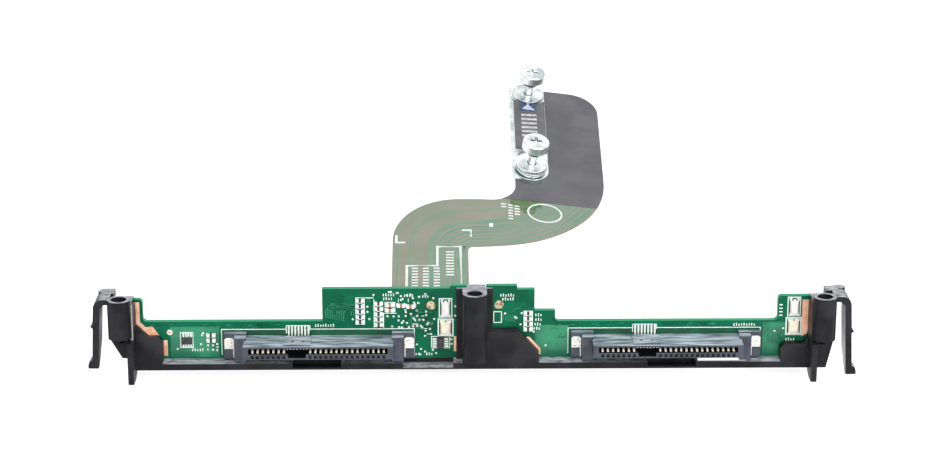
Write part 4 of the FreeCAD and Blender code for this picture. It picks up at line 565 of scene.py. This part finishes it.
# Contacts. Stamped copper alloy, gold plated where the drive's tongue rubs and tinned at the feet that
# are soldered to the board. Above a set height the strip is painted dark, as painted shade inside the slot.
SHADE_HEIGHTS = (6.2, 6.5)  # the painted shade comes in between these heights
CONTACT_PITCH, UPPER_PITCH = 1.27, 0.8
LAND_DEPTH = 0.06

contact_gold, tree, surface = new_finish("contact_gold", paint(252, 236, 204), 0.3, 0.1)
plated = two_tone(tree, surface, 1200.0, paint(244, 226, 190), paint(255, 250, 238))
# Painted shade: the contacts are painted near black above these heights, as the unlit inside of the slot.
place = add_node(tree, "TexCoord")
split = add_node(tree, "SeparateXYZ")
above = add_node(tree, "MapRange", {"From Min": SHADE_HEIGHTS[0] * MM, "From Max": SHADE_HEIGHTS[1] * MM})
wire(tree, (place, "Object", split, "Vector"), (split, "Z", above, "Value"))
dark = multiply(tree, above.outputs["Result"], 0.9)
blend_over(tree, surface, plated.outputs["Color"], dark, paint(40, 34, 26))
contact_tin = clouded("contact_tin", paint(238, 240, 236), 0.35, 1200.0,
                      paint(222, 226, 224), paint(252, 252, 248), metallic=0.2)
for side in ("left", "right"):
    dress(side + "_main_contacts", contact_gold)
    dress(side + "_upper_contacts", contact_tin)

solder = bmesh.new()
for drive_x in DRIVES:
    for number in range(7):
        x = drive_x - KEY_OFFSET + (number - 3) * UPPER_PITCH
        ink_bar(solder, x - 0.23, x + 0.23, 7.9, 9.95, LAND_DEPTH)
    for number in (*range(7), *range(11, 26)):
        x = drive_x + (number - 12.5) * CONTACT_PITCH
        ink_bar(solder, x - 0.33, x + 0.33, 3.2, 4.4, LAND_DEPTH)
finish_piece(solder, "contact_lands", bright_tin)


# Hold-down tabs. Bent tinned strip through each ear, soldered to wide lands, with a narrow upright edge
# beside the guide column.
TAB_CORNER = 0.05
TAB_OFFSET = 21.95            # a tab's middle from its receptacle's
EAR_FRONT = BOARD_FRONT - 1.6

tab_tin = clouded("dull_tin", paint(236, 234, 222), 0.45, 2200.0,
                  paint(168, 166, 156), paint(255, 252, 242), 0.36, 0.5, metallic=0.1)
for side in ("left", "right"):
    softened(side + "_hold_downs", TAB_CORNER, tab_tin)
tab_lands = bmesh.new()
for drive_x in DRIVES:
    for middle in (drive_x - TAB_OFFSET, drive_x + TAB_OFFSET):
        ink_bar(tab_lands, middle - 1.15, middle + 1.15, 4.7, 5.2, 0.22, EAR_FRONT)
        ink_bar(tab_lands, middle - 0.85, middle + 0.85, 7.15, 7.45, 0.12, EAR_FRONT)
finish_piece(tab_lands, "tab_folds", bright_tin)


# Lamps. Each is a small white carrier with a resin window: the upper one clear and water-white, the
# lower one tinted, with plated ends soldered to the board.
LAMP_CORNER = 0.12

lamp_resin, tree, surface = new_finish("clear_resin", paint(252, 246, 244), 0.18)
two_tone(tree, surface, 700.0, paint(252, 236, 234), paint(255, 255, 252))
set_inputs(surface, {"Subsurface Weight": 0.15, "Subsurface Scale": 0.0006, "Coat Weight": 0.4})
tinted_resin, tree, surface = new_finish("tinted_resin", paint(252, 236, 208), 0.22)
two_tone(tree, surface, 700.0, paint(248, 226, 190), paint(255, 246, 226))
set_inputs(surface, {"Coat Weight": 0.4})
for side in ("left", "right"):
    softened(side + "_clear_lamp", LAMP_CORNER, lamp_resin)
    softened(side + "_amber_lamp", LAMP_CORNER, tinted_resin)
ends = bmesh.new()
chips_inside = bmesh.new()
for lamp_x in LAMPS:
    for z in (12.2, 16.1):
        ink_bar(ends, lamp_x - 1.15, lamp_x - 0.55, z, z + 0.55, 0.7)
        ink_bar(ends, lamp_x + 0.55, lamp_x + 1.15, z, z + 0.55, 0.7)
    ink_bar(ends, lamp_x - 1.4, lamp_x + 1.4, 7.35, 7.75, 0.5)
    ink_bar(ends, lamp_x - 1.4, lamp_x + 1.4, 10.85, 11.3, 0.5)
    ink_bar(chips_inside, lamp_x - 0.18, lamp_x + 0.18, 10.95, 11.25, 0.55)
    ink_bar(chips_inside, lamp_x - 0.7, lamp_x - 0.35, 16.15, 16.5, 0.75)
    ink_bar(chips_inside, lamp_x + 0.35, lamp_x + 0.7, 16.15, 16.5, 0.75)
finish_piece(ends, "lamp_ends", bright_tin)
package_black = clouded("package_black", paint(34, 36, 38), 0.5, 800.0,
                        paint(28, 30, 32), paint(48, 50, 52), skin=(4200.0, 0.008))
finish_piece(chips_inside, "lamp_key_marks", package_black)


# Driver packages. Black moulded bodies round a tinned lead frame, with four bent leads a side; the leads
# and the solder that holds them down are bright.
LEAD_PITCH, LEAD_HALF, LEAD_DEPTH = 0.62, 0.2, 0.3
LEFT_CHIP_X = -70.2    # this one's leads point down and up
CENTER_CHIP_Z = 5.5    # and this one's to the left and right

for node in ("left_driver_chip", "center_driver_chip"):
    dress(node, package_black)
leads = bmesh.new()
for number in range(4):
    x = LEFT_CHIP_X + (number - 1.5) * LEAD_PITCH
    for low, high in ((4.5, 5.55), (7.25, 8.3)):
        ink_bar(leads, x - LEAD_HALF, x + LEAD_HALF, low, high, LEAD_DEPTH)
    z = CENTER_CHIP_Z + (number - 1.5) * LEAD_PITCH
    for left, right in ((-10.25, -9.2), (-7.4, -6.4)):
        ink_bar(leads, left, right, z - LEAD_HALF, z + LEAD_HALF, LEAD_DEPTH)
finish_piece(leads, "package_leads", bright_tin)


# Chip parts. Fired ceramic blocks with plated ends, in columns at an even pitch; the resistors are
# nearly black on their faces, the capacitors brown.
RESISTOR_DEPTH, CAPACITOR_DEPTH = 0.52, 0.77
RESISTOR_PAIR = (-64.4, 6.3, 2)
CAPACITORS = ((-20.6, 14.0, 2), (-17.9, 15.2, 1), (-15.6, 14.95, 1))

dress("chip_resistors", clouded("resistor_face", paint(46, 44, 46), 0.4, 1500.0,
                                paint(36, 34, 36), paint(66, 62, 62)))
dress("chip_capacitors", clouded("capacitor_ceramic", paint(168, 128, 92), 0.4, 1500.0,
                                 paint(146, 104, 70), paint(190, 152, 118)))
caps = bmesh.new()
for columns, depth in (((*RESISTOR_COLUMNS, RESISTOR_PAIR), RESISTOR_DEPTH), (CAPACITORS, CAPACITOR_DEPTH)):
    for x, low, count in columns:
        for number in range(count):
            z = low + CHIP_PITCH * number
            for side in (-1, 1):
                cap_x, fillet_x = x + side * 0.6, x + side * 0.85
                ink_bar(caps, cap_x - 0.3, cap_x + 0.3, z - 0.45, z + 0.45, depth)
                ink_bar(caps, fillet_x - 0.28, fillet_x + 0.28, z - 0.5, z + 0.5, 0.12)
finish_piece(caps, "chip_ends", bright_tin)


# Flexible tail. Two copper layers in amber film under a translucent green-grey cover coat. It bends out
# from under the board, climbs, sweeps to the right and rolls over by a few degrees at its connector end.
TAIL_SLOPE = math.radians(21.8)
TAIL_ROLL = math.radians(8.45)
TAIL_START = Vector((0.0, 8.8571, 0.0073))
TAIL_HALF = 0.15                           # half its thickness
ROLL_RUN = 11.0
ROLL_RADIUS = ROLL_RUN / math.sin(TAIL_ROLL)
LEG_LEFT, LEG_WIDTH, LEG_FOOT = -20.75, 19.8, 0.5
LEG_TOP, LEG_SHORTER = 45.65, 3.6          # the leg ends earlier on its right side
# Curves of the outline, as the middle and the radius
OVER_LEG, SWEEP = (-3.55, 46.15, 17.2), (-0.63, 83.2, 39.7)
TURN, NECK = (7.95, 76.0, 28.5), (5.1, 70.35, 7.0)
NOTCH_FOOT, NOTCH = (-0.95, 42.16), 1.35
SHOULDER_START, SHOULDER_RUN, SHOULDER_LINE = -3.55, 8.65, 63.35
LANE_LIFT, PATCH_LIFT = 0.012, 0.02
FILM_EDGE = 66.0                           # the lanes end under the cover film
climb = Matrix.Rotation(TAIL_SLOPE, 3, "X")
lean = Matrix.Rotation(TAIL_ROLL, 3, "Y")


def on_tail(lift):
    """Point on the tail at x across and y along its slope, lifted off its upper face."""
    def spot(x, y):
        height = TAIL_HALF + lift
        radius = ROLL_RADIUS + height
        roll_end = radius * math.sin(TAIL_ROLL)
        if x <= 0:
            flat = Vector((x, y, height))
        elif x <= roll_end:
            flat = Vector((x, y, radius * math.cos(math.asin(x / radius)) - ROLL_RADIUS))
        else:
            run = (x - roll_end) / math.cos(TAIL_ROLL)
            drop = radius * math.cos(TAIL_ROLL) - ROLL_RADIUS
            flat = Vector((x, y, drop - run * math.sin(TAIL_ROLL)))
        return (TAIL_START + climb @ flat) * MM
    return spot


cover_coat, tree, surface = new_finish("cover_coat", paint(136, 142, 124), 0.38)
coat = two_tone(tree, surface, 70.0, paint(124, 136, 114), paint(148, 146, 132), 0.35, 0.65)
vary_roughness(tree, surface, coat.outputs["Mask"], 0.32, 0.46)
rough_skin(tree, surface, 1500.0, 0.02)
dress("flex_tail", cover_coat)
tail_run = clouded("tail_copper_run", paint(114, 148, 126), 0.36, 120.0,
                   paint(104, 144, 122), paint(126, 150, 130), skin=(1500.0, 0.02))


def around(x, y, radius, degrees):
    """Point on a circle about x, y."""
    angle = math.radians(degrees)
    return Vector((x + radius * math.cos(angle), y + radius * math.sin(angle)))


def tail_lane(part):
    """Path along the tail at a part of the way from its left edge to its right edge."""
    path = [(LEG_LEFT + part * LEG_WIDTH, LEG_FOOT + number / 4 * (LEG_TOP - part * LEG_SHORTER))
            for number in range(5)]
    # From the leg into the sweep: the outer curve on the left, the small notch on the right
    for number in range(1, 17):
        left = around(*OVER_LEG, 180 - 90 * number / 16)
        notch = NOTCH * number / 16
        right = Vector((NOTCH_FOOT[0] + notch, NOTCH_FOOT[1] + notch))
        path.append(tuple(left.lerp(right, part)))
    # Along the sweep and up into the connector end
    for number in range(1, 25):
        if number <= 16:
            right = around(*SWEEP, -88.5 + 48.5 * number / 16)
        else:
            right = around(*TURN, -40 + 24 * (number - 16) / 8)
        if number <= 10:
            left = Vector((SHOULDER_START + SHOULDER_RUN * number / 10, SHOULDER_LINE))
        else:
            left = around(*NECK, -90 + 50 * (number - 10) / 14)
        path.append(tuple(left.lerp(right, part)))
    return path


lanes = bmesh.new()
for part, width in ((0.235, 0.5), (0.275, 0.22), (0.51, 1.5), (0.61, 1.0), (0.665, 0.45), (0.72, 0.9),
                    (0.79, 0.55), (0.86, 0.9), (0.94, 1.1), (0.06, 0.3)):
    path = [point for point in tail_lane(part) if point[1] < FILM_EDGE]
    ribbon(lanes, path, width, on_tail(LANE_LIFT))
finish_piece(lanes, "tail_runs", tail_run)

green_patch = clouded("dense_copper_patch", paint(78, 118, 72), 0.38, 900.0,
                      paint(56, 112, 66), paint(108, 118, 70), 0.42, 0.58)
patch = bmesh.new()
for left, right, low, high in ((10.6, 19.0, 61.6, 64.6), (12.6, 17.4, 59.9, 61.5),
                               (13.8, 17.0, 58.7, 59.8)):
    across = [left + (right - left) * number / 12 for number in range(13)]
    ribbon(patch, [(x, (low + high) / 2) for x in across], high - low, on_tail(PATCH_LIFT))
finish_piece(patch, "tail_dense_patch", green_patch)


# Printed marks on the tail. White ink, screened on like the board's: a stepped box, two corner marks, a
# small square, a ring and rows of short bars.
MARK_LINE, MARK_LIFT = 0.62, 0.03
BAR_WIDTH, BAR_PITCH = 0.5, 1.15
RING_CENTER, RING_RADII = (19.7, 59.7), (4.5, 3.75)
printed = on_tail(MARK_LIFT)

tail_marks = bmesh.new()
for path in ([(-16.94, 20.0), (-16.94, 35.65), (-9.03, 35.65), (-9.03, 43.4), (-3.01, 43.4), (-3.01, 20.0)],
             [(-19.75, 48.1), (-19.75, 45.1), (-17.4, 45.1)],
             [(-2.6, 50.1), (-0.2, 50.1), (-0.2, 47.4)]):
    ribbon(tail_marks, path, MARK_LINE, printed)
ribbon(tail_marks, [(4.7, 52.5), (5.7, 52.5)], 1.5, printed)
turns = [math.radians(angle) for angle in range(0, 361, 10)]
ring = [(RING_CENTER[0] + RING_RADII[0] * math.cos(turn), RING_CENTER[1] + RING_RADII[1] * math.sin(turn))
        for turn in turns]
ribbon(tail_marks, ring, BAR_WIDTH, printed)
for left, right, low, high in ((8.0, 9.4, 58.4, 61.8), (9.9, 11.1, 54.6, 61.6), (11.6, 13.0, 56.2, 61.4),
                               (-15.6, -14.0, 25.0, 34.6), (-12.8, -11.2, 25.0, 34.6),
                               (-10.0, -8.4, 25.0, 34.6), (-6.8, -4.7, 30.0, 41.2)):
    for number in range(int((high - low) / BAR_PITCH)):
        y = high - BAR_PITCH * number
        ribbon(tail_marks, [(left, y), (right, y)], BAR_WIDTH, printed)
finish_piece(tail_marks, "tail_marks", white_ink)


# Cover film on the connector end. Dull dark grey film, cut to the tail's outline with one straight edge
# across it, and glued down over the printed circuit.
dress("cover_film", clouded("dark_film", paint(94, 94, 99), 0.55, 90.0,
                            paint(86, 86, 91), paint(102, 102, 107), skin=(2600.0, 0.015)))


# Backing plate, ferrules and captive screws. Steel, zinc plated and bright, turned or stamped, with
# fine marks from the tool. The plate spreads the screws' pull over the connector.
PLATE_CORNER, FERRULE_CORNER, SCREW_CORNER = 0.18, 0.12, 0.16

bright_zinc, tree, surface = new_finish("bright_zinc", paint(216, 222, 222), 0.28, 1.0)
tone = two_tone(tree, surface, 260.0, paint(194, 203, 205), paint(232, 236, 234))
vary_roughness(tree, surface, tone.outputs["Mask"], 0.2, 0.36)
rough_skin(tree, surface, 3200.0, 0.006)
softened("backing_plate", PLATE_CORNER, bright_zinc)
for side in ("lower", "upper"):
    softened(side + "_ferrule", FERRULE_CORNER, bright_zinc)
    softened(side + "_captive_screw", SCREW_CORNER, bright_zinc, side + "_screw")


# Collars under the screws' heads. Dark grey moulded plastic, pushed on to each shank; a collar slides
# with its screw, and the screw turns in it. Their dark grey is partly painted shade under each head.
COLLAR_CORNER = 0.1

collar_dark = clouded("collar_plastic", paint(78, 92, 90), 0.45, 900.0,
                      paint(66, 80, 78), paint(96, 110, 106))
for side in ("lower", "upper"):
    softened(side + "_collar", COLLAR_CORNER, collar_dark, side + "_collar")


# Label on the raised middle of the plate. Grey film with a pale blue triangle that points to the upper
# screw, over a column of plain white bars; it is printed, and stuck to the plate.
PLATE_TOP = 3.05                               # the raised middle's top over the tail's middle
LABEL_LIFT = 0.08
BAR_LIFT = LABEL_LIFT + 0.02
BAR_FOOT, BAR_STEP, BAR_RISE = 89.4, 1.9, 0.5  # the lowest bar, the step to the next, a bar's slant
ARROW_LIFT = LABEL_LIFT + 0.035
ARROW_X, ARROW_TIP = 5.1, 104.1
ARROW_STEP, ARROW_SPREAD = 0.32, 0.24          # down and out, from one strip of the triangle to the next


def on_plate(lift):
    """Point on the backing plate at x across and y up the slope."""
    base = Vector((ROLL_RUN, 0.0, -ROLL_RADIUS * (1 - math.cos(TAIL_ROLL))))
    return lambda x, y: (TAIL_START + climb @ (base + lean @ Vector((x, y, PLATE_TOP + lift)))) * MM


dress("plate_label", clouded("label_film", paint(96, 97, 98), 0.42, 300.0,
                             paint(90, 91, 92), paint(104, 105, 106)))
label_marks = bmesh.new()
for number in range(6):
    y = BAR_FOOT + number * BAR_STEP
    ribbon(label_marks, [(3.0, y), (7.4, y + BAR_RISE)], 0.95, on_plate(BAR_LIFT))
label_ink = clouded("label_ink", paint(204, 200, 208), 0.5, 900.0,
                    paint(186, 182, 190), paint(220, 216, 224))
finish_piece(label_marks, "label_bars", label_ink)
arrow_field = clouded("arrow_field_ink", paint(70, 84, 118), 0.5, 900.0,
                      paint(60, 72, 104), paint(86, 100, 132))
field_mesh = bmesh.new()
ribbon(field_mesh, [(2.6, 103.0), (7.5, 103.0)], 4.2, on_plate(BAR_LIFT))
finish_piece(field_mesh, "label_arrow_field", arrow_field)
arrow_blue = clouded("arrow_ink", paint(196, 214, 240), 0.5, 900.0,
                     paint(184, 204, 236), paint(214, 226, 246))
arrow = bmesh.new()
for number in range(8):
    y = ARROW_TIP - ARROW_STEP * number
    half = ARROW_SPREAD * number
    ribbon(arrow, [(ARROW_X - half - 0.1, y), (ARROW_X + half + 0.1, y)], 0.33, on_plate(ARROW_LIFT))
finish_piece(arrow, "label_arrow", arrow_blue)


# End board and its connector, under the tail. A stiff piece of the same green laminate carries a black
# moulded socket, whose gold plated contacts are soldered to it.
SOCKET_CORNER = 0.12

dress("end_board", solder_mask)
socket_black = clouded("socket_plastic", paint(40, 40, 42), 0.45, 400.0,
                       paint(32, 32, 34), paint(52, 52, 54), skin=(4200.0, 0.008))
softened("mezzanine_housing", SOCKET_CORNER, socket_black)
dress("mezzanine_contacts", land_gold)


# Floor, light and camera. A pale floor and backdrop under large soft lamps, as on a photographer's table.
# What the camera sees of them, straight or in a reflection, is whiter than the light that they give.
FLOOR_LEVEL = -2.6
LIGHTS_AIM = Vector((0, 0.02, 0.01))
CAMERA_PLACE = Vector((-8.399, -533.776, 203.754))
CAMERA_PITCH, CAMERA_YAW = math.radians(17.5), math.radians(-0.75)

floor_mesh = bmesh.new()
bmesh.ops.create_grid(floor_mesh, x_segments=1, y_segments=1, size=3.0)
bmesh.ops.translate(floor_mesh, vec=(0, 0, FLOOR_LEVEL * MM), verts=floor_mesh.verts)
floor_data = bpy.data.meshes.new("floor")
floor_mesh.to_mesh(floor_data)
floor_mesh.free()
floor = bpy.data.objects.new("floor", floor_data)
bpy.context.scene.collection.objects.link(floor)


def show_otherwise(tree, lighting, shown, output):
    """Send one shader to the rays that light the object, and another to the camera's own rays, to
    reflections and to what is seen through a clear part."""
    path_kind = add_node(tree, "LightPath")
    seen = add_node(tree, "Math", operation="MAXIMUM")
    every = add_node(tree, "Math", operation="MAXIMUM")
    choose = add_node(tree, "MixShader")
    wire(tree, (path_kind, "Is Camera Ray", seen, 0), (path_kind, "Is Glossy Ray", seen, 1),
         (seen, 0, every, 0), (path_kind, "Is Transmission Ray", every, 1), (every, 0, choose, "Fac"),
         (lighting, 0, choose, 1), (shown, 0, choose, 2), (choose, "Shader", tree.nodes[output], "Surface"))


paper, tree, surface = new_finish("white_paper", (0.72, 0.72, 0.72, 1), 0.9)
glow = add_node(tree, "Emission", {"Color": (1, 1, 1, 1), "Strength": 0.78})
both = add_node(tree, "AddShader")
wire(tree, (surface, "BSDF", both, 0), (glow, "Emission", both, 1))
show_otherwise(tree, surface, both, "Material Output")
floor_data.materials.append(paper)

world = bpy.data.worlds.new("studio")
bpy.context.scene.world = world
world.use_nodes = True
sky = world.node_tree
background = sky.nodes["Background"]
set_inputs(background, {"Color": (1, 1, 1, 1), "Strength": 0.3})
backdrop = add_node(sky, "Background", {"Color": (1, 1, 1, 1), "Strength": 1.0})
show_otherwise(sky, background, backdrop, "World Output")

for lamp_name, spot, wide, watts in (("key_lamp", (-0.07, -0.58, 0.42), 0.5, 3.2),
                                     ("fill_lamp", (0.45, -0.45, 0.28), 0.45, 2.6),
                                     ("top_lamp", (0.05, 0.15, 0.6), 0.5, 0.7)):
    light = bpy.data.lights.new(lamp_name, "AREA")
    light.size = wide
    light.energy = watts
    lamp = bpy.data.objects.new(lamp_name, light)
    lamp.location = spot
    lamp.rotation_mode = "QUATERNION"
    lamp.rotation_quaternion = (LIGHTS_AIM - Vector(spot)).to_track_quat("-Z", "Y")
    bpy.context.scene.collection.objects.link(lamp)

camera_data = bpy.data.cameras.new("camera")
camera_data.sensor_width = 36
camera_data.lens = 90
camera_data.clip_start = 0.01
camera_data.clip_end = 20
camera = bpy.data.objects.new("camera", camera_data)
bpy.context.scene.collection.objects.link(camera)
camera.location = CAMERA_PLACE * MM
camera.rotation_mode = "QUATERNION"
level = math.cos(CAMERA_PITCH)
ahead = Vector((-math.sin(CAMERA_YAW) * level, math.cos(CAMERA_YAW) * level, -math.sin(CAMERA_PITCH)))
camera.rotation_quaternion = ahead.to_track_quat("-Z", "Y")
bpy.context.scene.camera = camera
bpy.context.scene.view_settings.view_transform = "Standard"
